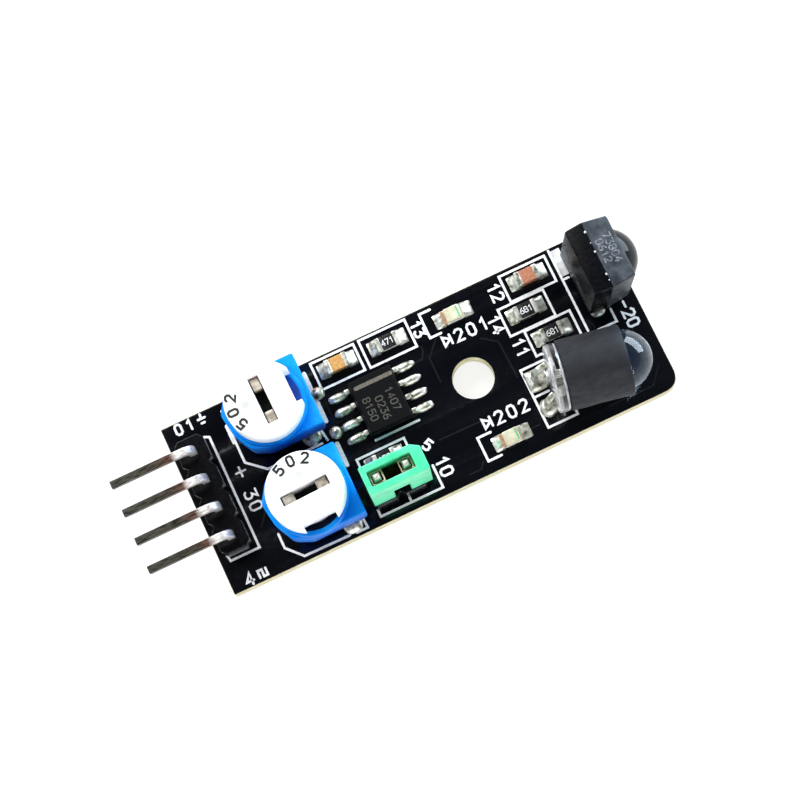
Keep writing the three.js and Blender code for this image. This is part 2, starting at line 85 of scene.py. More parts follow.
# ---- Driving sizes ----

BOARD_LOW, BOARD_HIGH = node_box("circuit_board")
TOP = BOARD_HIGH.z              # the board's top face
FLOOR = CAD_BOX[0].z / MM       # the board stands on its trimmed leads
MASK = 0.035                    # thickness of the solder mask
INK = 0.02                      # thickness of printed ink
SUNK = 0.02                     # how far solder reaches into what it sits on
ROUND = 2.1                     # squareness of a solder mound on a round pad
LINE = 0.2                      # width of a printed line
CORNER_RADIUS = 1.5             # at the sensor end
SQUARE_CORNER = 0.12            # at the connector end
SCREW_HOLE = (5.08, 0.31, 1.75)  # x, y and radius
LEAD_HOLE_RADIUS = 0.5
PAD_RADIUS = 1.0
EDGE_GAP = 0.03                 # from the board's edge to its mask
TRACK_RISE = 0.012              # how far a track lifts the mask

ROTOR_TURNS = {1: 91, 2: 2}     # degrees about +Z
HOUSING_OUTLINE = [(3.67, -3.15), (3.67, 3.25), (-1, 3.25), (-2.75, 2.6), (-3.75, 1), (-3.45, -0.95),
                   (-2.6, -2.6), (-1.2, -3.2)]
HOUSING_RADII = [0.2, 0.2, 0.8, 0.9, 0.9, 0.9, 0.9, 0.8]
HOUSING_BORE = 2.95             # radius
HOUSING_LEVELS = (1.0, 1.9, 4.2)                 # foot, shelf and rim, above the board
COLLAR_RADIUS = 3.35
KNOB = {"radius": 3.17, "bottom": 5.15, "top": 7.5, "notch_half": 1.4, "notch_y": -2.34}
DRUM = {"radius": 2.3, "bottom": 3.08}

SURFACE_PART = {"length": 2.0, "width": 1.25}    # capacitors, resistors and lamps

EMITTER_TURN = -10.5            # degrees about +Z
EMITTER_BASE = (10.46, -3.09, 3.05)              # centre of the flange's back, above the board
EMITTER_LEGS = [(9.55, -2.03), (9.55, -4.57)]
FLANGE = {"radius": 2.9, "length": 1.0, "flat": 2.55}
BARREL = {"radius": 2.5, "start": 1.02, "length": 6.05}
SLEEVE = {"outer": 2.95, "inner": 2.56}

RECEIVER_BASE = (16, 3.72)      # foot of the receiver's rear face, on its middle line
RECEIVER_LEAN = 2.5             # degrees towards +X
RECEIVER = {"parting": 1.53, "front": 3.7, "half": 2.98, "bottom": 0.5, "top": 7.25}
RECEIVER_DRAFT = {"rear": 0.12, "front": 0.25}   # how far the moulding narrows at each end
RECEIVER_LENS = {"height": 4.1, "radius": 2.55, "reach": 5.23}

# the pins' colour changes along this span and ends in a painted highlight at the bend
PIN_TONE_AND_HIGHLIGHT_FADE = (-25.5, -18.5)       # along X, from the pins' ends to their bends
# heights of painted shade: below them a look takes its shade tones
HOUSING_SHADE_FADE = (3.0, 5.6)       # heights between which a look goes from its low tones to its high ones
WIPER_SHADE_FADE = (7.5, 8.2)
CLIP_SHADE_FADE = (8.6, 9.3)
NOISE_RANGE = (0.3, 0.7)        # where most of a noise's values lie

# ---- Node helpers ----


def look_tree(name):
    """A new material, with its node tree and its shader."""
    look = bpy.data.materials.new(name)
    look.use_nodes = True
    return look, look.node_tree, look.node_tree.nodes["Principled BSDF"]


def add(tree, kind, links=(), **values):
    """A new node. links holds (input name or number, socket); values are its settings and its inputs."""
    made = tree.nodes.new("ShaderNode" + kind)
    for key, value in values.items():
        if hasattr(made, key):
            setattr(made, key, value)
        else:
            made.inputs[key.replace("_", " ")].default_value = value
    for key, socket in links:
        tree.links.new(socket, made.inputs[key])
    return made


def position(tree, stretch=(1, 1, 1)):
    """The point on the piece in millimetres, with each axis stretched."""
    where = add(tree, "TexCoord")
    scaled = add(tree, "Mapping", [("Vector", where.outputs["Object"])])
    scaled.inputs["Scale"].default_value = [s / MM for s in stretch]
    return scaled.outputs["Vector"]


def noise(tree, per_mm, stretch=(1, 1, 1), detail=3.0):
    made = add(tree, "TexNoise", [("Vector", position(tree, stretch))], Scale=per_mm, Detail=detail)
    return made.outputs["Fac"]


def stops_ramp(tree, factor, stops):
    """Colours at the given places of a factor, as (place, colour)."""
    made = add(tree, "ValToRGB", [("Fac", factor)])
    elements = made.color_ramp.elements
    while len(elements) < len(stops):
        elements.new(0.5)
    for element, (place, tone) in zip(elements, stops):
        element.position = place
        element.color = (*tone, 1)
    return made.outputs["Color"]


def ramp(tree, factor, tones):
    """Colours spread evenly over the usual range of a noise."""
    low, high = NOISE_RANGE
    step = (high - low) / (len(tones) - 1)
    return stops_ramp(tree, factor, [(low + step * i, tone) for i, tone in enumerate(tones)])


def span(tree, factor, low, high):
    """The usual range of a noise mapped to low to high."""
    made = add(tree, "MapRange", [("Value", factor)], From_Min=NOISE_RANGE[0], From_Max=NOISE_RANGE[1],
               To_Min=low, To_Max=high)
    return made.outputs["Result"]


def mix(tree, factor, first, second):
    """One colour mixed into another. Each is a colour or a socket."""
    made = add(tree, "Mix", data_type="RGBA")
    for number, value in [(0, factor), (6, first), (7, second)]:
        if isinstance(value, bpy.types.NodeSocket):
            tree.links.new(value, made.inputs[number])
        else:
            made.inputs[number].default_value = (*value, 1) if number else value
    return made.outputs[2]


def math_node(tree, operation, first, second):
    return add(tree, "Math", [(0, first), (1, second)], operation=operation).outputs[0]


def relief(tree, shader, height, depth):
    """Bumps the shader's normal by a height factor, depth in millimetres."""
    bump = add(tree, "Bump", [("Height", height)], Strength=1.0, Distance=depth * MM)
    tree.links.new(bump.outputs["Normal"], shader.inputs["Normal"])


def look_of(name, tones, rough, metallic=0.0, per_mm=1.5, stretch=(1, 1, 1), depth=0.004, grain=6.0,
            **fixed):
    """A material whose colour, roughness and fine relief vary with noise."""
    look, tree, shader = look_tree(name)
    shader.inputs["Metallic"].default_value = metallic
    for key, value in fixed.items():
        shader.inputs[key.replace("_", " ")].default_value = value
    cloud = noise(tree, per_mm, stretch)
    fine = noise(tree, grain, stretch, 4.0)
    tree.links.new(ramp(tree, cloud, tones), shader.inputs["Base Color"])
    tree.links.new(span(tree, fine, *rough), shader.inputs["Roughness"])
    relief(tree, shader, fine, depth)
    return look


# ---- Materials ----


def mask_look(name, tones, depth):
    """Glossy solder mask over a glass weave that shows as a faint crossed relief."""
    look, tree, shader = look_tree(name)
    cloud = noise(tree, 0.35, detail=5.0)
    tree.links.new(ramp(tree, cloud, tones), shader.inputs["Base Color"])
    tree.links.new(span(tree, noise(tree, 3.0), 0.1, 0.17), shader.inputs["Roughness"])
    shader.inputs["Specular IOR Level"].default_value = 0.4
    where = position(tree)
    bands = [add(tree, "TexWave", [("Vector", where)], bands_direction=axis, Scale=0.42, Distortion=1.5)
             for axis in "XY"]
    weave = math_node(tree, "MULTIPLY", bands[0].outputs["Fac"], bands[1].outputs["Fac"])
    relief(tree, shader, math_node(tree, "ADD", weave, noise(tree, 9.0)), depth)
    return look


def share_along(tree, axis, low, high):
    """0 to 1 between two places along an axis of the CAD frame, in millimetres."""
    along = add(tree, "SeparateXYZ", [("Vector", position(tree))])
    made = add(tree, "MapRange", [("Value", along.outputs[axis])], From_Min=low, From_Max=high)
    return made.outputs["Result"]


def pin_look():
    """Drawn plated wire, dull outside the board, brown over its edge, with a painted highlight at the bend.
    """
    look, tree, shader = look_tree("pin_grey")
    streaks = noise(tree, 2.6, (0.5, 3, 3), 6.0)
    place = share_along(tree, "X", *PIN_TONE_AND_HIGHLIGHT_FADE)
    # the last stop of each ramp is a painted highlight at the bend
    dark = stops_ramp(tree, place, [(0.0, (0.012, 0.013, 0.01)), (0.6, (0.012, 0.01, 0.008)),
                                    (0.76, (0.02, 0.008, 0.006)), (0.85, (0.5, 0.46, 0.44))])
    light = stops_ramp(tree, place, [(0.0, (0.07, 0.073, 0.06)), (0.6, (0.07, 0.058, 0.042)),
                                     (0.76, (0.15, 0.075, 0.055)), (0.85, (0.97, 0.95, 0.93))])
    share = add(tree, "MapRange", [("Value", streaks)], From_Min=0.36, From_Max=0.58).outputs["Result"]
    tree.links.new(mix(tree, share, dark, light), shader.inputs["Base Color"])
    shader.inputs["Metallic"].default_value = 0.65
    shader.inputs["Specular IOR Level"].default_value = 0.3
    tree.links.new(span(tree, streaks, 0.5, 0.34), shader.inputs["Roughness"])
    relief(tree, shader, streaks, 0.008)
    return look


def painted_shade_look(name, shade_tones, lit_tones, fade, rough, metallic=0.0, per_mm=1.0, lit_share_on_walls=1.0):
    """Painted shade: colour that goes from shade tones below one height to lit tones above another. Upright
    faces take only a share of the lit tones.
    """
    look, tree, shader = look_tree(name)
    cloud = noise(tree, per_mm)
    surface = add(tree, "NewGeometry")
    facing = add(tree, "SeparateXYZ", [("Vector", surface.outputs["Normal"])])
    level = add(tree, "MapRange", [("Value", facing.outputs["Z"])], From_Min=0.2, From_Max=0.8,
                To_Min=lit_share_on_walls)
    share = math_node(tree, "MULTIPLY", share_along(tree, "Z", *fade), level.outputs["Result"])
    colour = mix(tree, share, ramp(tree, cloud, shade_tones), ramp(tree, cloud, lit_tones))
    tree.links.new(colour, shader.inputs["Base Color"])
    fine = noise(tree, 7.0)
    tree.links.new(span(tree, fine, *rough), shader.inputs["Roughness"])
    shader.inputs["Metallic"].default_value = metallic
    shader.inputs["Specular IOR Level"].default_value = 0.12
    relief(tree, shader, fine, 0.003)
    return look


def rotor_look(number):
    """White plastic with two soft grey marks beside the slot."""
    look, tree, shader = look_tree(f"rotor_white_{number}")
    centre = middle(f"trimmer_{number}_rotor")
    turn = math.radians(ROTOR_TURNS[number])
    flat = add(tree, "VectorMath", [(0, position(tree))], operation="MULTIPLY")
    flat.inputs[1].default_value = (1, 1, 0)
    marks = []
    for side, strength in ((1, 0.75), (-1, 0.3)):
        spot = Vector((0.15, side * 1.25, 0))
        spot.rotate(Matrix.Rotation(turn, 3, "Z"))
        gap = add(tree, "VectorMath", [(0, flat.outputs[0])], operation="DISTANCE")
        gap.inputs[1].default_value = (centre.x + spot.x, centre.y + spot.y, 0)
        near = add(tree, "MapRange", [("Value", gap.outputs["Value"])], From_Min=0.25, From_Max=0.65,
                   To_Min=strength, To_Max=0.0)
        marks.append(near.outputs["Result"])
    grey = math_node(tree, "ADD", *marks)
    white = ramp(tree, noise(tree, 1.2), [(0.84, 0.85, 0.86), (0.92, 0.92, 0.92)])
    tree.links.new(mix(tree, grey, white, (0.42, 0.42, 0.41)), shader.inputs["Base Color"])
    tree.links.new(span(tree, noise(tree, 5.0), 0.34, 0.5), shader.inputs["Roughness"])
    shader.inputs["Subsurface Weight"].default_value = 0.12
    shader.inputs["Subsurface Scale"].default_value = 0.4 * MM
    relief(tree, shader, noise(tree, 14.0), 0.003)
    return look


def clear_look(name, tones, rough, **fixed):
    """Clear cast resin."""
    look = look_of(name, tones, rough, per_mm=0.4, depth=0.0004, grain=0.8, IOR=1.53, **fixed)
    look.node_tree.nodes["Principled BSDF"].inputs["Transmission Weight"].default_value = 1.0
    return look


SUBSURFACE = 0.3 * MM
LOOKS = {
    "mask": mask_look("solder_mask_black", [(0.0012, 0.0016, 0.003), (0.0022, 0.0028, 0.0048)], 0.0005),
    "track": mask_look("solder_mask_over_track", [(0.006, 0.0075, 0.01), (0.011, 0.012, 0.014)], 0.0005),
    "laminate": look_of(
        "glass_laminate", [(0.3, 0.28, 0.16), (0.52, 0.48, 0.3), (0.74, 0.69, 0.48)], (0.45, 0.7),
        per_mm=3.5, stretch=(0.3, 0.3, 3), depth=0.008),
    "ink": look_of(
        "ink_white", [(0.72, 0.73, 0.74), (0.93, 0.94, 0.95)], (0.4, 0.6), per_mm=4.0, depth=0.006),
    "patch": look_of(
        "ink_thin", [(0.35, 0.36, 0.37), (0.85, 0.86, 0.87)], (0.4, 0.6), per_mm=0.9, depth=0.006),
    "ink_tan": look_of("ink_tan", [(0.07, 0.06, 0.045), (0.16, 0.135, 0.1)], (0.5, 0.7), per_mm=6.0),
    "ink_dim": look_of("ink_dim", [(0.03, 0.027, 0.022), (0.09, 0.078, 0.06)], (0.5, 0.7), per_mm=6.0),
    "ink_grey": look_of(
        "etched_grey", [(0.04, 0.045, 0.055), (0.13, 0.14, 0.16), (0.32, 0.34, 0.38)], (0.4, 0.6),
        per_mm=4.0),
    "ink_black": look_of("ink_black", [(0.004, 0.004, 0.005), (0.02, 0.02, 0.02)], (0.3, 0.5), per_mm=6.0),
    "black": look_of(
        "plastic_black", [(0.0012, 0.0013, 0.002), (0.003, 0.0032, 0.0045)], (0.16, 0.26), per_mm=1.8,
        depth=0.0005, grain=4.0, Specular_IOR_Level=0.28),
    "pin": pin_look(),
    "pin_bright": look_of(
        "pin_rosy", [(0.6, 0.5, 0.46), (0.9, 0.84, 0.8)], (0.3, 0.45), metallic=0.7, per_mm=2.0),
    "solder": look_of(
        "solder_bright", [(0.14, 0.14, 0.09), (0.62, 0.62, 0.53), (0.97, 0.97, 0.94)], (0.28, 0.46),
        metallic=0.8, per_mm=2.4, depth=0.012, grain=2.6),
    "tin": look_of(
        "tinned_copper", [(0.16, 0.16, 0.11), (0.62, 0.62, 0.54), (0.95, 0.95, 0.92)], (0.28, 0.42),
        metallic=0.8, per_mm=2.2, depth=0.006, grain=4.0),
    "copper": look_of("copper_warm", [(0.5, 0.25, 0.17), (0.75, 0.5, 0.4)], (0.2, 0.4), metallic=1.0),
    # painted shade: the housing's walls and lower part take darker blue tones
    "blue": painted_shade_look(
        "plastic_blue", [(0.0, 0.06, 0.34), (0.0, 0.09, 0.48)],
        [(0.0, 0.17, 0.7), (0.0, 0.24, 0.8), (0.008, 0.31, 0.86)], HOUSING_SHADE_FADE, (0.34, 0.5), per_mm=0.6,
        lit_share_on_walls=0.5),
    # painted light: this navy plastic glows by emission
    "navy": look_of(
        "plastic_navy", [(0.0, 0.03, 0.3), (0.0, 0.09, 0.6)], (0.3, 0.44), per_mm=1.0,
        Emission_Color=(0.0, 0.02, 0.16, 1), Emission_Strength=0.8),
    # painted shade: a near-black copy of the navy plastic
    "navy_deep": look_of(
        "plastic_navy_deep", [(0.0, 0.003, 0.016), (0.0, 0.008, 0.04)], (0.4, 0.5), per_mm=1.0,
        Specular_IOR_Level=0.1),
    "wafer": look_of("wafer_brown", [(0.05, 0.03, 0.02), (0.12, 0.08, 0.05)], (0.5, 0.7)),
    # painted shade: the clip is dark brown below its top
    "brass": painted_shade_look(
        "brass_satin", [(0.02, 0.012, 0.007), (0.05, 0.028, 0.015)], [(0.52, 0.4, 0.24), (0.8, 0.68, 0.48)],
        CLIP_SHADE_FADE, (0.25, 0.42), metallic=0.9, per_mm=3.0),
    # painted shade: the wiper is near black deep in the slot
    "crown": painted_shade_look(
        "wiper_beige", [(0.003, 0.003, 0.003), (0.01, 0.009, 0.008)],
        [(0.26, 0.23, 0.18), (0.5, 0.44, 0.36), (0.72, 0.66, 0.56)], WIPER_SHADE_FADE, (0.35, 0.5), metallic=0.3,
        per_mm=1.6),
    "green": look_of(
        "plastic_green", [(0.04, 0.56, 0.27), (0.11, 0.76, 0.42)], (0.25, 0.4), per_mm=0.8, depth=0.005,
        grain=8.0, Subsurface_Weight=0.1, Subsurface_Scale=SUBSURFACE),
    "chip": look_of(
        "moulding_charcoal", [(0.0018, 0.0018, 0.0022), (0.005, 0.005, 0.006)], (0.5, 0.66), per_mm=7.0,
        depth=0.006, grain=12.0, Specular_IOR_Level=0.07),
    "glaze": look_of(
        "resistor_black", [(0.004, 0.004, 0.005), (0.018, 0.016, 0.015)], (0.2, 0.4), per_mm=4.0),
    "alumina": look_of("alumina_white", [(0.7, 0.69, 0.66), (0.85, 0.84, 0.82)], (0.4, 0.6), per_mm=6.0),
    "tan": look_of(
        "ceramic_tan", [(0.42, 0.2, 0.05), (0.66, 0.35, 0.1)], (0.3, 0.5), per_mm=5.0, grain=10.0),
    "brown": look_of(
        "ceramic_brown", [(0.3, 0.11, 0.06), (0.5, 0.2, 0.11)], (0.3, 0.5), per_mm=5.0, grain=10.0),
    "lamp": look_of(
        "lamp_milky", [(0.5, 0.46, 0.3), (0.72, 0.7, 0.55)], (0.12, 0.25), per_mm=1.6, depth=0.003,
        grain=5.0, Subsurface_Weight=0.35, Subsurface_Scale=SUBSURFACE),
    "lamp_brown": look_of(
        "lamp_end_brown", [(0.32, 0.14, 0.06), (0.55, 0.3, 0.15)], (0.3, 0.5), per_mm=5.0),
    "lamp_green": look_of("lamp_line_green", [(0.03, 0.35, 0.14), (0.1, 0.6, 0.3)], (0.3, 0.5), per_mm=5.0),
    "sleeve": look_of(
        "sleeve_dull", [(0.0045, 0.005, 0.0075), (0.013, 0.0145, 0.02)], (0.55, 0.75), per_mm=1.4,
        stretch=(0.45, 1, 1), depth=0.012, grain=3.0, Specular_IOR_Level=0.3),
    "clear": clear_look("resin_clear", [(0.84, 0.86, 0.9), (0.95, 0.95, 0.97)], (0.02, 0.06)),
    # the blue emission is a painted glow in the barrel's resin
    "clear_blue": clear_look(
        "resin_clear_blue", [(0.5, 0.72, 0.97), (0.66, 0.84, 1.0)], (0.01, 0.03),
        Emission_Color=(0.14, 0.3, 0.6, 1), Emission_Strength=0.025),
    # hazy resin that also glows white: painted glints on the flange's rims
    "haze_painted_glint": look_of(
        "resin_haze", [(0.45, 0.44, 0.45), (0.95, 0.94, 0.95)], (0.1, 0.3), per_mm=1.1, depth=0.02,
        grain=1.6, Transmission_Weight=0.15, Emission_Color=(1, 0.98, 0.98, 1), Emission_Strength=0.14),
    # painted sheen: the receiver's front half is a lighter copy of its resin
    "smoke": look_of(
        "resin_smoke_satin", [(0.006, 0.007, 0.01), (0.024, 0.028, 0.035), (0.055, 0.06, 0.072)],
        (0.38, 0.56), per_mm=1.1, depth=0.012, grain=3.0, Specular_IOR_Level=0.25),
    # painted shade: the receiver's rear half is a darker copy of the same resin
    "smoke_rear": look_of(
        "resin_smoke_rear", [(0.0008, 0.001, 0.0018), (0.0025, 0.003, 0.0045)], (0.24, 0.38), per_mm=1.1,
        depth=0.01, grain=3.0, Specular_IOR_Level=0.1),
    "flake": look_of("resin_flake", [(0.4, 0.42, 0.45), (0.7, 0.72, 0.75)], (0.2, 0.4), per_mm=6.0),
    "dome": look_of(
        "resin_smoke_glossy", [(0.003, 0.0035, 0.0045), (0.008, 0.009, 0.011)], (0.03, 0.08), per_mm=0.8,
        depth=0.0005, grain=1.0, IOR=1.3, Specular_IOR_Level=0.45),
}

# ---- Mesh helpers ----

TIN = ("tin", "tinned_metal")   # look and slot
CREASE = 35                     # degrees; a steeper corner stays sharp


def piece_of(name, mesh, look, body, crease):
    """A finished piece: clean closed mesh, smooth but for its creases, riding on a body."""
    work = bmesh.new()
    work.from_mesh(mesh)
    bmesh.ops.remove_doubles(work, verts=work.verts, dist=0.0002 * MM)
    bmesh.ops.recalc_face_normals(work, faces=work.faces)
    work.to_mesh(mesh)
    work.free()
    mesh.materials.clear()
    mesh.materials.append(LOOKS[look] if isinstance(look, str) else look)
    mesh.polygons.foreach_set("use_smooth", [True] * len(mesh.polygons))
    mesh.set_sharp_from_angle(angle=math.radians(crease))
    piece = linked(name, mesh)
    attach(piece, body)
    return piece


def build(name, points, faces, look, slot, body="board", place=Matrix(), crease=CREASE):
    """A piece from points in millimetres and its faces."""
    mesh = bpy.data.meshes.new(name)
    mesh.from_pydata([place @ Vector(p) * MM for p in points], [], faces)
    return piece_of(name, mesh, look, body, crease)


def loft(rings, loop=False):
    """Points and faces of a closed skin over rings of equal count, capped or joined end to end."""
    count = len(rings[0])
    points = [p for ring in rings for p in ring]
    total = len(points)
    faces = []
    for i in range(len(rings) if loop else len(rings) - 1):
        for j in range(count):
            k = (j + 1) % count
            a, b = i * count, (i + 1) * count % total
            faces.append((a + j, a + k, b + k, b + j))
    if not loop:
        faces.append(tuple(reversed(range(count))))
        faces.append(tuple(range(total - count, total)))
    return points, faces


def arc(radius, start, end, steps, centre=(0, 0)):
    """Points along an arc, angles in degrees, both ends included."""
    angles = [math.radians(start + (end - start) * i / steps) for i in range(steps + 1)]
    return [(centre[0] + radius * math.cos(a), centre[1] + radius * math.sin(a)) for a in angles]


def circle(radius, count=64, centre=(0, 0)):
    return arc(radius, 0, 360, count, centre)[:-1]


def lathe(profile, count=96, loop=False):
    """A profile of (radius, height) turned about Z."""
    return loft([[(x, y, height) for x, y in circle(radius, count)] for radius, height in profile], loop)


def rectangle(x0, x1, y0, y1):
    return [(x0, y0), (x1, y0), (x1, y1), (x0, y1)]


def fillet(corners, radii, steps=5):
    """A closed outline with its corners rounded. radii is one radius, or one for each corner."""
    count = len(corners)
    radii = radii if isinstance(radii, (list, tuple)) else [radii] * count
    outline = []
    for i, radius in enumerate(radii):
        here = Vector(corners[i])
        back = Vector(corners[i - 1]) - here
        on = Vector(corners[(i + 1) % count]) - here
        reach = min(radius / math.tan(back.angle(on) / 2), back.length * 0.45, on.length * 0.45)
        start = here + back.normalized() * reach
        end = here + on.normalized() * reach
        for step in range(steps + 1):
            t = step / steps
            outline.append(tuple(start.lerp(here, t).lerp(here.lerp(end, t), t)))
    return outline


def slab(name, outlines, low, high, look, slot, body="board", *, edge, place=Matrix()):
    """Flat outlines, the first the outer and the rest holes, raised from low to high with rounded edges."""
    curve = bpy.data.curves.new(name, "CURVE")
    curve.dimensions = "2D"
    curve.fill_mode = "BOTH"
    curve.extrude = (high - low) / 2 - edge
    curve.bevel_depth = edge
    curve.bevel_resolution = 2
    curve.offset = -edge
    for outline in outlines:
        spline = curve.splines.new("POLY")
        spline.points.add(len(outline) - 1)
        for point, (x, y) in zip(spline.points, outline):
            point.co = (x, y, 0, 1)
        spline.use_cyclic_u = True
    holder = linked(name + "_outline", curve)
    bpy.context.view_layer.update()
    shape = holder.evaluated_get(bpy.context.evaluated_depsgraph_get())
    mesh = bpy.data.meshes.new_from_object(shape)
    mesh.name = name
    bpy.data.objects.remove(holder)
    bpy.data.curves.remove(curve)
    mesh.transform(Matrix.Scale(MM, 4) @ place @ Matrix.Translation((0, 0, (low + high) / 2)))
    return piece_of(name, mesh, look, body, CREASE)


def mound(name, x, y, half_x, half_y, height, squareness, seed, look="solder", base=TOP + MASK):
    """A solder mound on a rounded footprint, a little uneven."""
    levels = 9
    count = 40
    rings = []
    for i in range(levels):
        a = math.radians(86) * i / (levels - 1)
        ring = []
        for j in range(count):
            t = 2 * math.pi * j / count
            uneven = 1 + 0.035 * math.sin(3 * t + seed) + 0.025 * math.sin(5 * t + 2 * seed)
            reach = math.cos(a) ** 0.8 * uneven
            cx = math.copysign(abs(math.cos(t)) ** (2 / squareness), math.cos(t)) * half_x * reach
            cy = math.copysign(abs(math.sin(t)) ** (2 / squareness), math.sin(t)) * half_y * reach
            ring.append((cx, cy, height * math.sin(a)))
        rings.append(ring)
    rings.insert(0, [(px, py, -SUNK) for px, py, _ in rings[0]])
    build(name, *loft(rings), look, "tinned_metal", place=Matrix.Translation((x, y, base)), crease=80)


def dress(node, look, edge):
    """Keeps a CAD node and gives it rounded edges, smooth shading and a material."""
    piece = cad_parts[node]
    mesh = piece.data
    mesh.materials.clear()
    mesh.materials.append(LOOKS[look])
    if "custom_normal" in mesh.attributes:
        mesh.attributes.remove(mesh.attributes["custom_normal"])
    mesh.polygons.foreach_set("use_smooth", [True] * len(mesh.polygons))
    weld = piece.modifiers.new("weld", "WELD")
    weld.merge_threshold = 0.001 * MM
    flat = piece.modifiers.new("flat", "DECIMATE")
    flat.decimate_type = "DISSOLVE"
    flat.angle_limit = math.radians(1)
    rounding = piece.modifiers.new("rounding", "BEVEL")
    rounding.width = edge * MM
    rounding.segments = 3
    rounding.limit_method = "ANGLE"
    rounding.angle_limit = math.radians(32)
    piece.modifiers.new("shading", "WEIGHTED_NORMAL")


# ---- Printed lines and figures ----

STROKE_STEP = 0.0015            # strokes alternate in height by this, so that crossing ones aren't level
FIGURES = {
    "0": [[(0.15, 0), (0.45, 0), (0.6, 0.2), (0.6, 0.8), (0.45, 1), (0.15, 1), (0, 0.8), (0, 0.2),
           (0.15, 0)]],
    "1": [[(0.12, 0.75), (0.35, 1), (0.35, 0)]],
    "2": [[(0, 0.85), (0.15, 1), (0.45, 1), (0.6, 0.85), (0.6, 0.62), (0, 0), (0.6, 0)]],
    "3": [[(0, 1), (0.6, 1), (0.28, 0.6), (0.45, 0.58), (0.6, 0.42), (0.6, 0.15), (0.45, 0), (0.12, 0),
           (0, 0.12)]],
    "4": [[(0.45, 0), (0.45, 1), (0, 0.3), (0.6, 0.3)]],
    "5": [[(0.58, 1), (0.05, 1), (0, 0.55), (0.42, 0.6), (0.6, 0.42), (0.6, 0.15), (0.45, 0), (0.12, 0),
           (0, 0.1)]],
    "6": [[(0.5, 1), (0.15, 0.75), (0, 0.4), (0, 0.15), (0.15, 0), (0.45, 0), (0.6, 0.15), (0.6, 0.4),
           (0.45, 0.52), (0.12, 0.5)]],
    "7": [[(0, 1), (0.6, 1), (0.2, 0)]],
    "8": [[(0.15, 0.52), (0.02, 0.66), (0.02, 0.86), (0.15, 1), (0.45, 1), (0.58, 0.86), (0.58, 0.66),
           (0.45, 0.52), (0.15, 0.52), (0, 0.36), (0, 0.14), (0.15, 0), (0.45, 0), (0.6, 0.14), (0.6, 0.36),
           (0.45, 0.52)]],
    "+": [[(0, 0.5), (0.7, 0.5)], [(0.35, 0.15), (0.35, 0.85)]],
    "-": [[(0.05, 0.5), (0.55, 0.5)]],
    "~": [[(0, 0.2), (0, 0.8), (0.35, 0.8), (0.35, 0.2), (0.7, 0.2), (0.7, 0.8)]],      # square wave
    "_": [[(0.35, 1), (0.35, 0.6)], [(0, 0.55), (0.7, 0.55)], [(0.2, 0.1), (0.5, 0.1)]],   # earth
    ">": [[(0, 0.1), (0, 0.9), (0.6, 0.5), (0, 0.1)], [(0.65, 0.1), (0.65, 0.9)]],       # diode
}


def figures(text, x, y, height, turn=0.0, step=0.9):
    """Strokes of a row of figures, step heights apart, centred on a point and turned in degrees."""
    width = step * (len(text) - 1) + 0.6
    place = Matrix.Translation((x, y, 0)) @ Matrix.Rotation(math.radians(turn), 4, "Z")
    place = place @ Matrix.Scale(height, 4)
    strokes = []
    for i, character in enumerate(text):
        for stroke in FIGURES[character]:
            moved = [place @ Vector((sx + step * i - width / 2, sy - 0.5, 0)) for sx, sy in stroke]
            strokes.append([tuple(p.xy) for p in moved])
    return strokes


def band(path, width):
    """Left and right edges of a flat band, mitred at its corners."""
    closed = len(path) > 2 and (Vector(path[0]) - Vector(path[-1])).length < 1e-6
    points = [Vector(p) for p in (path[:-1] if closed else path)]
    count = len(points)
    left, right = [], []
    for i, here in enumerate(points):
        before = points[i - 1] if closed or i else here
        after = points[(i + 1) % count] if closed or i < count - 1 else here
        into = (here - before) if (here - before).length else (after - here)
        out = (after - here) if (after - here).length else into
        into, out = into.normalized(), out.normalized()
        along = (into + out).normalized()
        across = Vector((-along.y, along.x))
        reach = width / 2 / max(0.5, across.dot(Vector((-into.y, into.x))))
        left.append(here + across * reach)
        right.append(here - across * reach)
    return left, right, closed


def round_end(centre, edge, steps=6):
    """Points of a half circle from one edge point round to the far side."""
    arm = edge - centre
    turned = []
    for i in range(1, steps):
        spun = arm.copy()
        spun.rotate(Matrix.Rotation(-math.pi * i / steps, 2))
        turned.append(centre + spun)
    return turned


def printed(name, paths, width, height, look, slot, body="board", place=Matrix(), thickness=INK):
    """Bands of ink along paths, all one piece."""
    points, faces = [], []
    for number, path in enumerate(paths):
        left, right, closed = band(path, width)
        start = len(points)
        if number:
            height += STROKE_STEP if number % 2 else -STROKE_STEP
        if closed:
            count = len(left)
            for level in (height, height + thickness):
                points += [(*p, level) for p in left]
                points += [(*p, level) for p in right]
            for i in range(count):
                k = (i + 1) % count
                a, b, c, d = (start + count * n for n in range(4))
                faces += [(a + i, a + k, b + k, b + i), (c + i, c + k, d + k, d + i)]
                faces += [(a + i, a + k, c + k, c + i), (b + i, b + k, d + k, d + i)]
        else:
            outline = left + round_end(Vector(path[-1]), left[-1]) + right[::-1]
            outline += round_end(Vector(path[0]), right[0])
            count = len(outline)
            points += [(*p, height) for p in outline] + [(*p, height + thickness) for p in outline]
            faces += [tuple(range(start, start + count)), tuple(range(start + count, start + 2 * count))]
            faces += [(start + i, start + (i + 1) % count, start + count + (i + 1) % count, start + count + i)
                      for i in range(count)]
    return build(name, points, faces, look, slot, body, place, crease=20)


def boxed(x0, x1, y0, y1):
    return rectangle(x0, x1, y0, y1) + [(x0, y0)]


# ---- Circuit board ----


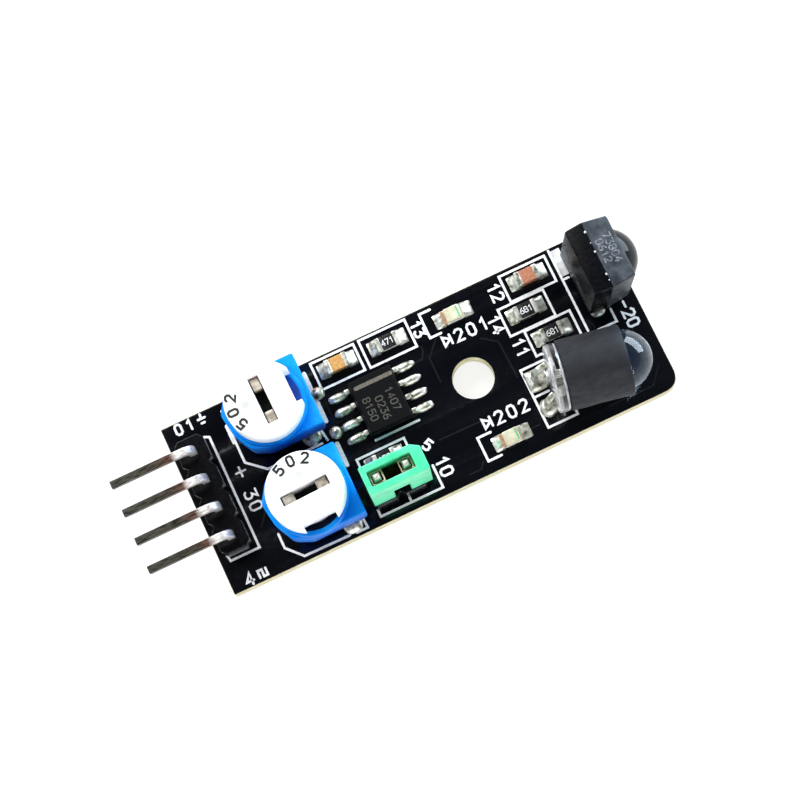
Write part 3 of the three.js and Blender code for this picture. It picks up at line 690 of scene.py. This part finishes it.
def lead_places():
    """Where each lead passes through the board."""
    header_x = middle("header_strip").x
    places = [(header_x, middle(f"header_pin_{i}").y) for i in range(1, 5)]
    places += [tuple(middle(f"jumper_pin_{i}").xy) for i in (1, 2)]
    places += [tuple(middle(f"trimmer_{n}_terminal_{i}").xy) for n in (1, 2) for i in (1, 2, 3)]
    places += EMITTER_LEGS
    places += [tuple(middle(f"receiver_lead_{i}").xy) for i in (1, 2, 3)]
    return places


def board_outline(inset):
    """Square corners at the connector end and round ones at the sensor end."""
    corners = rectangle(BOARD_LOW.x + inset, BOARD_HIGH.x - inset, BOARD_LOW.y + inset, BOARD_HIGH.y - inset)
    return fillet(corners, [SQUARE_CORNER, CORNER_RADIUS, CORNER_RADIUS, SQUARE_CORNER], 8)


def circuit_board():
    """A laminate core with a skin of solder mask above and below."""
    x, y, radius = SCREW_HOLE
    holes = [circle(LEAD_HOLE_RADIUS, 24, place) for place in lead_places()]
    screw = circle(radius, 96, (x, y))
    core = slab("board_core", [board_outline(0), screw, *holes], MASK, TOP - MASK, "laminate",
                "solder_mask_board", edge=0.02)
    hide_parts("circuit_board")
    rim = circle(radius + EDGE_GAP / 2, 96, (x, y))
    for name, low in (("board_mask_top", TOP - MASK), ("board_mask_underside", 0)):
        slab(name, [board_outline(EDGE_GAP), rim, *holes], low, low + MASK, "mask", "solder_mask_board",
             edge=0.012)


def board_printing():
    """White lines round the parts, with numbers and signs that mean nothing."""
    paths = [
        [(-17.25, 5.49), (-16.85, 5.3), (-16.85, -4.9), (-19.45, -4.9), (-19.6, -4.2)],
        [(-15.05, 6.85), (-15.05, 2.06), (-13.55, 0.74), (-8.6, 0.74)],
        [(-15, -4.58), (-15, -5.85), (-13.79, -7.15), (-9.7, -7.2)],
        [(-9.1, -7.25), (-8.1, -7.25), (-8.15, -6.36)],
        [(-8.2, 1.95), (-8.05, 0.8)],
        boxed(-6.7, -2.75, 4.85, 7.3),
        boxed(-2.25, 2.0, 4.8, 7.34),
        [(4.3, 7.18), (3.3, 7.18), (3.3, 4.95), (4.3, 4.95)],
        boxed(10.7, 14.9, 4.8, 7.2),
        boxed(9.4, 13.55, 2.15, 4.66),
        boxed(10.6, 14.77, -0.3, 2.05),
        boxed(8.87, 11.55, -6.15, -0.83),
        [(8.95, -3.37), (10.25, -3.37)],
        [(4.4, -4.42), (3.2, -4.42), (3.2, -6.55), (4.4, -6.55)],
        [(-6.58, -4.2), (-6.58, -1.76), (-2.28, -1.76), (-2.28, -4.2)],
        [(-6.75, -5.92), (-6.75, -6.9), (-1.1, -6.9), (-1.1, -4.89)],
        [(-3.95, -6.9), (-3.95, -6.3)],
        [(-4.45, -0.95), (-0.49, -0.95)],
        [(15.4, 7.43), (15.4, -0.21)],
        [(15.4, 4.64), (15.95, 4.64)],
        [(17.9, 0.68), (17.9, -0.5), (16.09, -0.5)],
    ]
    for text, *row in (("01_", -17.9, 6.98, 0.86, 0, 1.2), ("4~", -18.1, -6.93, 1.0, 0, 1.15),
                       (">201", 6.15, 4.15, 1.0, 0, 1.12), (">202", 6.15, -3.6, 1.0, 0, 1.12),
                       ("12", 9.9, 6.1, 0.95, -90), ("14", 8.75, 3.6, 0.95, -90),
                       ("11", 9.75, 0.95, 0.95, -90), ("13", 2.7, 6.1, 0.85, -90),
                       ("5", -0.75, -3.15, 0.85, -60), ("10", -0.25, -5.35, 1.0, -90),
                       ("-20", 19.1, -0.3, 0.95, -90)):
        paths += figures(text, *row)
    printed("board_printing", paths, LINE, TOP, "ink", "white_plastic")
    broad = [
        [(-7.5, 6.75), (-7.5, 2.3)],
        [(-7.47, 0.2), (-7.47, -1.8)],
        [(-15.15, 5.5), (-15.15, 4.0)],
    ]
    printed("board_printing_broad", broad, 0.36, TOP, "ink", "white_plastic")
    faint = [*figures("+", -15.75, 1.5, 1.2), *figures("30", -15.7, -1.1, 1.0, -90, step=1.05)]
    printed("board_printing_faint", faint, 0.17, TOP, "patch", "white_plastic")
    slab("board_printing_patch", [rectangle(15.5, 16.3, 4.9, 7.3)], TOP, TOP + INK, "patch", "white_plastic",
         edge=0.005)


def board_tracks():
    """Copper tracks that show as low ridges under the mask."""
    top = [
        [(0.3, -3.2), (8.7, -3.3)],
        [(2.5, 1.2), (2.5, 3.4), (3.7, 4.7)],
        [(7.1, 3.1), (8.3, 2.2), (8.4, -1.2)],
        [(0.2, 3.6), (1.9, 3.6), (2.3, 4.2), (2.3, 4.6)],
        [(15.0, 1.0), (16.0, 0.2), (16.0, -2.0)],
        [(-14.2, -1.2), (-16.0, -3.4)],
        [(-6.9, 4.0), (-6.9, 2.0)],
        [(1.3, -6.9), (2.4, -6.9), (2.8, -6.4)],
        [(7.4, -5.6), (8.4, -5.6)],
        [(14.2, -6.7), (18.2, -6.7), (19.3, -5.4)],
    ]
    printed("board_tracks_top", top, 0.14, TOP, "track", "solder_mask_board", thickness=TRACK_RISE)
    under = []
    reach = 18.0
    for i, (x, y) in enumerate(lead_places()):
        far = max(-reach, min(reach, x + (3.2 if i % 2 else -3.0)))
        under.append([(x, y), (x + (far - x) * 0.4, y * 0.8), (far, y * 0.45)])
    under.append([(-15.5, 0), (-1, 0), (1.2, -2.2), (9, -2.2)])
    under.append([(-13, -6.6), (14, -6.6), (15.6, -5)])
    printed("board_tracks_underside", under, 0.35, -TRACK_RISE, "track", "solder_mask_board",
            thickness=TRACK_RISE)


def solder_joints():
    """A pad and a drawn-up cone of solder round each lead under the board."""
    cone = [(0.93, 0), (0.9, -0.04), (0.72, -0.1), (0.55, -0.22), (0.44, -0.42), (0.39, -0.7), (0.34, -0.86),
            (0.24, -0.92), (0.05, -0.94)]
    inner, outer, depth = LEAD_HOLE_RADIUS, PAD_RADIUS, 0.03
    ring = [(inner, 0), (outer, 0), (outer, depth), (inner, depth)]
    for i, (x, y) in enumerate(lead_places()):
        room = min(y - BOARD_LOW.y, BOARD_HIGH.y - y) - 0.04
        squeeze = Matrix.Diagonal((1, min(1, room / cone[0][0]), 1, 1))   # keeps a joint off the board's edge
        place = Matrix.Translation((x, y, -SUNK)) @ squeeze @ Matrix.Rotation(i, 4, "Z")
        build(f"pad_underside_{i + 1}", *lathe(ring, 48, loop=True), *TIN, place=place)
        build(f"solder_underside_{i + 1}", *lathe(cone, 48), "solder", "tinned_metal", place=place,
              crease=60)


# ---- Connector and jumper ----


def headers():
    """The connector and the jumper keep their CAD shapes."""
    dress("header_strip", "black", 0.05)
    dress("jumper_header_base", "black", 0.05)
    for i in range(1, 5):
        dress(f"header_pin_{i}", "pin", 0.05)
    for i in (1, 2):
        dress(f"jumper_pin_{i}", "pin_bright", 0.05)
    dress("jumper_cap", "green", 0.1)
    dress("jumper_clip", "brass", 0.04)


# ---- Trimmers ----


def trimmer(number):
    """A housing with a round collar, and a white rotor that shows the wiper through its slot."""
    label = f"trimmer_{number}"
    dial = f"{label}_dial"
    centre = middle(f"{label}_wafer")
    place = Matrix.Translation((centre.x, centre.y, TOP))
    turned = place @ Matrix.Rotation(math.radians(ROTOR_TURNS[number]), 4, "Z")

    blue = {"look": "blue", "slot": "blue_plastic", "place": place}
    outline = fillet(HOUSING_OUTLINE, HOUSING_RADII)
    bore = circle(HOUSING_BORE, 96)
    foot_level, shelf, brim = HOUSING_LEVELS
    shell = slab(f"{label}_shell", [outline, bore], shelf, brim, edge=0.14, **blue)
    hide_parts(f"{label}_housing")
    foot = fillet([(x * 0.975, y * 0.97) for x, y in HOUSING_OUTLINE], HOUSING_RADII)
    slab(f"{label}_foot", [foot], foot_level, shelf + 0.02, edge=0.08, **blue)
    inner, outer = HOUSING_BORE, COLLAR_RADIUS
    collar = [(inner, 3.6), (outer, 3.9), (outer, 4.9), (3.31, 5.01), (3.22, 5.05), (3.05, 5.05),
              (inner, 4.97)]
    build(f"{label}_collar", *lathe(collar, 128, loop=True), **blue)
    ledge = [(2.4, 3.9), (2.97, 3.9), (2.97, 4.3), (2.4, 4.25)]
    # painted light: trimmer 1's ledge glows navy and trimmer 2's is painted in shade
    ledge_painted_light = "navy" if number == 1 else "navy_deep"      # trimmer 2's notch shows darker
    build(f"{label}_ledge", *lathe(ledge, 96, loop=True), ledge_painted_light, "blue_plastic", place=place)

    half, notch_y = KNOB["notch_half"], KNOB["notch_y"]
    notch = math.degrees(math.acos(half / KNOB["radius"]))
    rim = arc(KNOB["radius"], -notch, 180 + notch, 120) + [(-half, notch_y), (half, notch_y)]
    slot = fillet(rectangle(-2.05, 2.05, -0.45, 0.45), 0.08)
    white = {"look": rotor_look(number), "slot": "white_plastic", "body": dial, "place": turned}
    top = slab(f"{label}_knob", [rim, slot], KNOB["bottom"], KNOB["top"], edge=0.11, **white)
    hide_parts(f"{label}_rotor")
    slab(f"{label}_drum", [circle(DRUM["radius"], 96), slot], DRUM["bottom"], KNOB["bottom"] + 0.01,
         edge=0.03, **white)
    strokes = []
    for figure, angle in (("5", 26), ("0", 0), ("2", -27)):
        spot = Vector((0, 2.58, 0))
        spot.rotate(Matrix.Rotation(math.radians(angle), 3, "Z"))
        strokes += figures(figure, spot.x, spot.y, 0.8, angle)
    printed(f"{label}_figures", strokes, LINE, KNOB["top"], "ink_black", "white_plastic", dial, place=turned)

    dress(f"{label}_wafer", "wafer", 0.03)
    dress(f"{label}_wiper", "crown", 0.04)
    for i in (1, 2, 3):
        dress(f"{label}_terminal_{i}", "tin", 0.05)
        spot = middle(f"{label}_terminal_{i}")
        if i < 3:
            size = 0.85
            x, y = spot.x, spot.y + math.copysign(0.5, spot.y - centre.y)
        else:
            size = 0.6
            x, y = spot.x - 0.25, spot.y
        y = min(y, BOARD_HIGH.y - size - 0.02)
        mound(f"{label}_solder_{i}", x, y, size, size, size / 2, ROUND, i + number)


# ---- Timer chip ----


def timer_chip():
    """The moulding with its end band and plain figures, and solder round each lead."""
    dress("timer_chip_body", "chip", 0.06)
    low, high = node_box("timer_chip_body")
    centre = (low + high) / 2
    surface = high.z
    band_y = high.y - 0.82
    printed("timer_chip_band", [[(centre.x - 1.45, band_y), (centre.x + 1.7, band_y)]], 0.34, surface,
            "ink_tan", "tan_ceramic", thickness=0.012)
    rows = []
    for text, offset, shift in (("1407", 1.0, -0.4), ("0236", -0.05, -0.75), ("8150", -1.05, -0.45)):
        rows += figures(text, centre.x + offset, centre.y + shift, 0.6, -90)
    printed("timer_chip_figures", rows, 0.09, surface, "ink_dim", "tan_ceramic", thickness=0.008)
    for i in range(1, 9):
        dress(f"timer_chip_lead_{i}", "tin", 0.05)
        spot = middle(f"timer_chip_lead_{i}")
        side = -1 if spot.x < centre.x else 1
        mound(f"timer_chip_solder_{i}", centre.x + side * 3.05, spot.y, 0.9, 0.36, 0.32, 2.5, i)


# ---- Surface-mounted parts ----


def end_solder(name, x, y, side, half_width, height, reach):
    """Solder drawn up one end of a part: loaf-shaped sections that fall away outwards."""
    rings = []
    steps = 9
    for i in range(steps + 1):
        u = i / steps
        width = half_width * (1 - 0.12 * u ** 3)
        crest = max(0.05, height * (1 - u) ** 1.4 + 0.1 * (1 - u ** 4))
        section = []
        for j in range(17):
            v = -1 + j / 8
            section.append((x + side * (reach * u - 0.12), y + width * v, crest * (1 - abs(v) ** 5) + 0.01))
        section += [(px, py, -SUNK) for px, py, _ in reversed(section)]
        rings.append(section)
    place = Matrix.Translation((0, 0, TOP))
    build(name, *loft(rings), "solder", "tinned_metal", place=place, crease=50)


def block(name, x0, x1, y0, y1, z0, z1, look, slot, edge=0.04, corner=0.06):
    """A box with rounded edges and corners, above the board."""
    outline = fillet(rectangle(x0, x1, y0, y1), corner, 3)
    return slab(name, [outline], TOP + z0, TOP + z1, look, slot, edge=edge)


def footprint(node):
    """Lowest and highest X, then Y, of a surface-mounted part."""
    centre = middle(node)
    half_length, half_width = SURFACE_PART["length"] / 2, SURFACE_PART["width"] / 2
    return centre.x - half_length, centre.x + half_length, centre.y - half_width, centre.y + half_width


def chip_part(node, look, slot, height, text=""):
    """A capacitor or a resistor between plated ends. A resistor has glaze with figures on top."""
    x0, x1, y0, y1 = footprint(node)
    y = middle(node).y
    end = 0.42
    body = block(f"{node}_body", x0 + 0.05, x1 - 0.05, y0 + 0.03, y1 - 0.03, 0.05, height - 0.03, look, slot)
    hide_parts(node)
    for side, a, b, outer, outward in (("west", x0, x0 + end, x0, -1), ("east", x1 - end, x1, x1, 1)):
        block(f"{node}_end_{side}", a, b, y0, y1, 0.03, height, *TIN, edge=0.06, corner=0.09)
        end_solder(f"{node}_solder_{side}", outer, y, outward, 0.7, height * 0.8, 0.82)
    if text:
        surface = height - 0.005
        block(f"{node}_glaze", x0 + end - 0.02, x1 - end + 0.02, y0 + 0.02, y1 - 0.02, height - 0.06, surface,
              "glaze", "resistor_glaze", edge=0.012)
        rows = figures(text, middle(node).x, y, 0.47, step=0.8)
        printed(f"{node}_figures", rows, 0.07, TOP + surface, "ink", "white_plastic", thickness=0.008)


def lamp(node):
    """Milky resin on a white base, with a brown end mark and a green line."""
    x0, x1, y0, y1 = footprint(node)
    y = middle(node).y
    base = block(f"{node}_base", x0 + 0.04, x1 - 0.04, y0, y1, 0.04, 0.3, "alumina", "lamp_resin", edge=0.03)
    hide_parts(node)
    block(f"{node}_end_west", x0, x0 + 0.3, y0, y1, 0.03, 0.34, *TIN, edge=0.03)
    block(f"{node}_end_east", x1 - 0.3, x1, y0, y1, 0.03, 0.34, *TIN, edge=0.03)
    block(f"{node}_lens", x0 + 0.33, x1 - 0.33, y0 + 0.02, y1 - 0.02, 0.28, 0.75, "lamp", "lamp_resin",
          edge=0.09, corner=0.12)
    block(f"{node}_mark", x0 + 0.02, x0 + 0.26, y0 + 0.05, y1 - 0.05, 0.3, 0.4, "lamp_brown",
          "brown_ceramic", edge=0.02)
    block(f"{node}_line", x1 - 0.62, x1 - 0.5, y0 + 0.12, y1 - 0.12, 0.7, 0.765, "lamp_green",
          "green_plastic", edge=0.01)
    for side, outer, outward in (("west", x0, -1), ("east", x1, 1)):
        end_solder(f"{node}_solder_{side}", outer, y, outward, 0.68, 0.3, 0.8)


def surface_parts():
    chip_part("capacitor_1", "tan", "tan_ceramic", 0.85)
    chip_part("capacitor_2", "brown", "brown_ceramic", 0.85)
    for i, text in enumerate(("471", "681", "681", "150"), 1):
        chip_part(f"resistor_{i}", "alumina", "resistor_glaze", 0.5, text)
    lamp("power_lamp")
    lamp("signal_lamp")
    for i, (x, y) in enumerate([(-7.1, 4.72), (-7.15, 1.06)]):
        mound(f"via_solder_{i + 1}", x, y, 0.55, 0.55, 0.42, ROUND, i)
        mound(f"via_copper_{i + 1}", x - 0.12, y + 0.28, 0.3, 0.22, 0.42, ROUND, i, look="copper")


# ---- Infrared emitter ----


def flattened(points, inset=0.0):
    """Points of a turned flange, cut back to its flat side."""
    return [(x, min(y, FLANGE["flat"] - inset), z) for x, y, z in points]


def emitter():
    """A clear cast flange and barrel with a lead frame inside and a shrunk sleeve round them."""
    x, y, z = EMITTER_BASE
    place = Matrix.Translation((x, y, TOP + z)) @ Matrix.Rotation(math.radians(EMITTER_TURN), 4, "Z")
    place = place @ Matrix.Rotation(math.radians(90), 4, "Y")      # local Z runs along the axis
    cast = {"slot": "clear_resin", "place": place, "crease": 40}
    radius, length = FLANGE["radius"], FLANGE["length"]
    near_axis = 0.02
    flange = [(near_axis, 0), (2.7, 0), (2.84, 0.04), (radius, 0.14), (radius, 0.86), (2.84, 0.96),
              (2.7, length), (near_axis, length)]
    points, faces = lathe(flange, 128)
    resin = build("emitter_flange", flattened(points), faces, "clear", **cast)
    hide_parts("emitter_lens")
    radius, length = BARREL["radius"], BARREL["length"]
    barrel = [(near_axis, BARREL["start"]), (radius, BARREL["start"]), (radius, 3), (radius, length)]
    barrel += arc(radius, 5, 85, 16, (0, length)) + [(near_axis, length + radius)]
    build("emitter_barrel", *lathe(barrel, 128), "clear_blue", **cast)

    # the flange's rims are hazy resin with painted white glints
    for name, start, hub in (("rear", 0.04, near_axis), ("front", 0.78, 2.3)):
        rim = [(hub, start), (2.8, start), (2.86, start + 0.06), (2.86, start + 0.13), (2.8, start + 0.17),
               (hub, start + 0.17)]
        points, faces = lathe(rim, 96, loop=hub > near_axis)
        build(f"emitter_flange_{name}", flattened(points, 0.04), faces, "haze_painted_glint", **cast)

    outer, inner = SLEEVE["outer"], SLEEVE["inner"]
    ring = [(inner, 1.08), (outer - 0.08, 1.05), (outer, 1.12), (outer + 0.02, 2.2), (outer - 0.02, 3.6),
            (outer + 0.01, 5.2), (outer, 6.23), (outer - 0.07, 6.33), (inner + 0.06, 6.35), (inner, 6.27)]
    sleeve = build("emitter_shrunk_sleeve", *lathe(ring, 96, loop=True), "sleeve", "sleeve_plastic",
                   place=place)
    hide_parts("emitter_sleeve")

    for name, side, length in (("anode", 1.27, 3.6), ("cathode", -1.27, 3.4)):
        post = fillet(rectangle(side - 0.25, side + 0.25, -0.22, 0.22), 0.06)
        slab(f"emitter_{name}_post", [post], 0.15, length, *TIN, place=place, edge=0.04)
    cup = [(near_axis, 3.3), (0.7, 3.3), (0.95, 4.1), (0.85, 4.1), (0.55, 3.6), (near_axis, 3.6)]
    build("emitter_cup", *lathe(cup, 48), *TIN, place=place @ Matrix.Translation((0, -0.7, 0)))
    for i in (1, 2):
        dress(f"emitter_lead_{i}", "tin", 0.06)
    mound("emitter_solder_1", 9.75, -2.1, 0.95, 0.95, 0.42, 4.5, 1)
    mound("emitter_solder_2", 9.62, -4.66, 0.78, 0.8, 0.62, ROUND, 2)


# ---- Infrared receiver ----


def section(along, inset):
    """The receiver block's outline at a distance from its rear face, drawn in by an inset."""
    half = RECEIVER["half"] - inset
    outline = fillet(rectangle(-half, half, RECEIVER["bottom"] + inset, RECEIVER["top"] - inset), 0.16)
    return [(along, across, height) for across, height in outline]


def receiver():
    """A leaning block moulded in two drafts from a parting line, with a domed lens, on three leads."""
    x, y = RECEIVER_BASE
    lean = Matrix.Rotation(math.radians(RECEIVER_LEAN), 4, "Y")
    place = Matrix.Translation((x, y, TOP)) @ lean
    parting, front, top = RECEIVER["parting"], RECEIVER["front"], RECEIVER["top"]
    rear_draft, front_draft = RECEIVER_DRAFT["rear"], RECEIVER_DRAFT["front"]
    edge = 0.12

    # the rear half is painted in shade and the front half with a painted sheen
    rear_rings = [section(0, rear_draft + edge), section(0.03, rear_draft + 0.05), section(edge, 0.11),
                  section(parting - 0.04, 0), section(parting - 0.01, 0.03)]
    rear = build("receiver_rear", *loft(rear_rings), "smoke_rear", "dark_resin", place=place, crease=30)
    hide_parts("receiver_body")
    front_rings = [section(parting, 0.03), section(parting + 0.03, 0), section(front - edge, 0.24),
                   section(front - 0.03, front_draft + 0.05), section(front, front_draft + edge)]
    build("receiver_front", *loft(front_rings), "smoke", "dark_resin", place=place, crease=30)

    radius, lens_height = RECEIVER_LENS["radius"], RECEIVER_LENS["height"]
    rings = []
    for i in range(19):
        a = math.radians(4.9 * i)
        along = RECEIVER_LENS["reach"] - radius + radius * math.sin(a)
        rings.append([(along, dy, lens_height + dz) for dy, dz in circle(radius * math.cos(a), 96)])
    build("receiver_dome", *loft(rings), "dome", "dark_resin", place=place, crease=60)

    slope = math.atan2(front_draft, front - parting)
    face = place @ Matrix.Translation((parting, 0, top)) @ Matrix.Rotation(slope, 4, "Y")
    rows = figures("0612", 0.65, 0.1, 0.6, -90) + figures("73804", 1.45, 0.1, 0.6, -90)
    printed("receiver_figures", rows, 0.09, -0.005, "ink_grey", "dark_resin", place=face, thickness=0.012)
    for i, (across, size) in enumerate([(-2.3, 0.05), (-1.75, 0.09), (0.3, 0.09), (1.1, 0.05), (2.1, 0.1)]):
        spot = face @ Vector((-0.05, across, 0))
        mound(f"receiver_flake_{i + 1}", spot.x, spot.y, size, size, 0.05, 2.6, i, look="flake",
              base=spot.z - 0.01)
    for i in (1, 2, 3):
        dress(f"receiver_lead_{i}", "tin", 0.05)
        spot = middle(f"receiver_lead_{i}")
        mound(f"receiver_solder_{i}", spot.x, spot.y - 0.08, 0.66, 0.66, 0.32, ROUND, i)


# ---- Stage ----


def floor():
    """A plain pale floor under the leads."""
    look, tree, shader = look_tree("floor_white")
    tone = ramp(tree, noise(tree, 0.01), [(0.3, 0.3, 0.298), (0.32, 0.32, 0.32)])
    tree.links.new(tone, shader.inputs["Base Color"])
    glow = ramp(tree, noise(tree, 0.02), [(0.97, 0.97, 0.955), (0.98, 0.98, 0.97)])
    tree.links.new(glow, shader.inputs["Emission Color"])
    shader.inputs["Emission Strength"].default_value = 0.86
    shader.inputs["Roughness"].default_value = 0.9
    shader.inputs["Specular IOR Level"].default_value = 0.1
    mesh = bpy.data.meshes.new("floor")
    size = 3.0
    mesh.from_pydata([(x, y, FLOOR * MM) for x, y in rectangle(-size, size, -size, size)], [], [(0, 1, 2, 3)])
    mesh.materials.append(look)
    linked("floor", mesh)


def softbox(name, direction, distance, size, power, colour=(1, 1, 1)):
    """A square area light that faces the board from a direction. Distance and size are in metres."""
    data = bpy.data.lights.new(name, "AREA")
    data.shape = "RECTANGLE"
    data.size, data.size_y = size
    data.energy = power
    data.color = colour
    light = linked(name, data)
    toward = Vector(direction).normalized()
    light.location = toward * distance
    light.rotation_mode = "QUATERNION"
    light.rotation_quaternion = toward.to_track_quat("Z", "Y")


def studio():
    """A bright surround that darkens straight overhead, and softboxes."""
    world = bpy.data.worlds.new("studio")
    SCENE.world = world
    world.use_nodes = True
    tree = world.node_tree
    where = add(tree, "TexCoord")
    parts = add(tree, "SeparateXYZ", [("Vector", where.outputs["Generated"])])
    levels = [(0.0, 0.95), (0.22, 1.0), (0.42, 0.4), (0.8, 0.16), (1.0, 0.04)]
    sky = [(place, (level * 0.985, level * 0.995, level)) for place, level in levels]
    side = add(tree, "MapRange", [("Value", parts.outputs["Y"])], From_Min=-0.9, From_Max=0.5,
               To_Min=0.95, To_Max=1.1)
    background = tree.nodes["Background"]
    tree.links.new(stops_ramp(tree, parts.outputs["Z"], sky), background.inputs["Color"])
    tree.links.new(side.outputs["Result"], background.inputs["Strength"])
    softbox("window", (0.84, 0.42, 0.3), 0.35, (0.4, 0.2), 2.4, (0.72, 0.88, 1.0))
    softbox("key", (-0.25, 0.75, 0.75), 0.5, (0.35, 0.35), 3.2)
    softbox("fill", (-0.1, -0.85, 0.5), 0.5, (0.4, 0.3), 1.7)


def camera():
    """Looks down on the board from the connector's end of its -Y side."""
    data = bpy.data.cameras.new("camera")
    data.sensor_width = 36
    data.lens = 92.2
    data.clip_start = 0.01
    data.clip_end = 20
    aim = Vector((-1.207, 1.271, TOP))
    distance = 170.15
    azimuth = math.radians(-9.56)
    height = math.radians(78.36)
    roll = math.radians(-15.8)
    back = Vector((math.sin(azimuth) * math.cos(height), -math.cos(azimuth) * math.cos(height),
                   math.sin(height)))
    level = Vector((math.cos(azimuth), math.sin(azimuth), 0))
    upright = back.cross(level)
    right = level * math.cos(roll) + upright * math.sin(roll)
    up = upright * math.cos(roll) - level * math.sin(roll)
    turn = Matrix((right, up, back)).transposed()
    eye = linked("camera", data)
    eye.matrix_world = Matrix.Translation((aim + back * distance) * MM) @ turn.to_4x4()
    SCENE.camera = eye


SCENE.view_settings.view_transform = "Standard"
camera()
studio()
floor()
circuit_board()
board_printing()
board_tracks()
solder_joints()
headers()
trimmer(1)
trimmer(2)
timer_chip()
surface_parts()
emitter()
receiver()
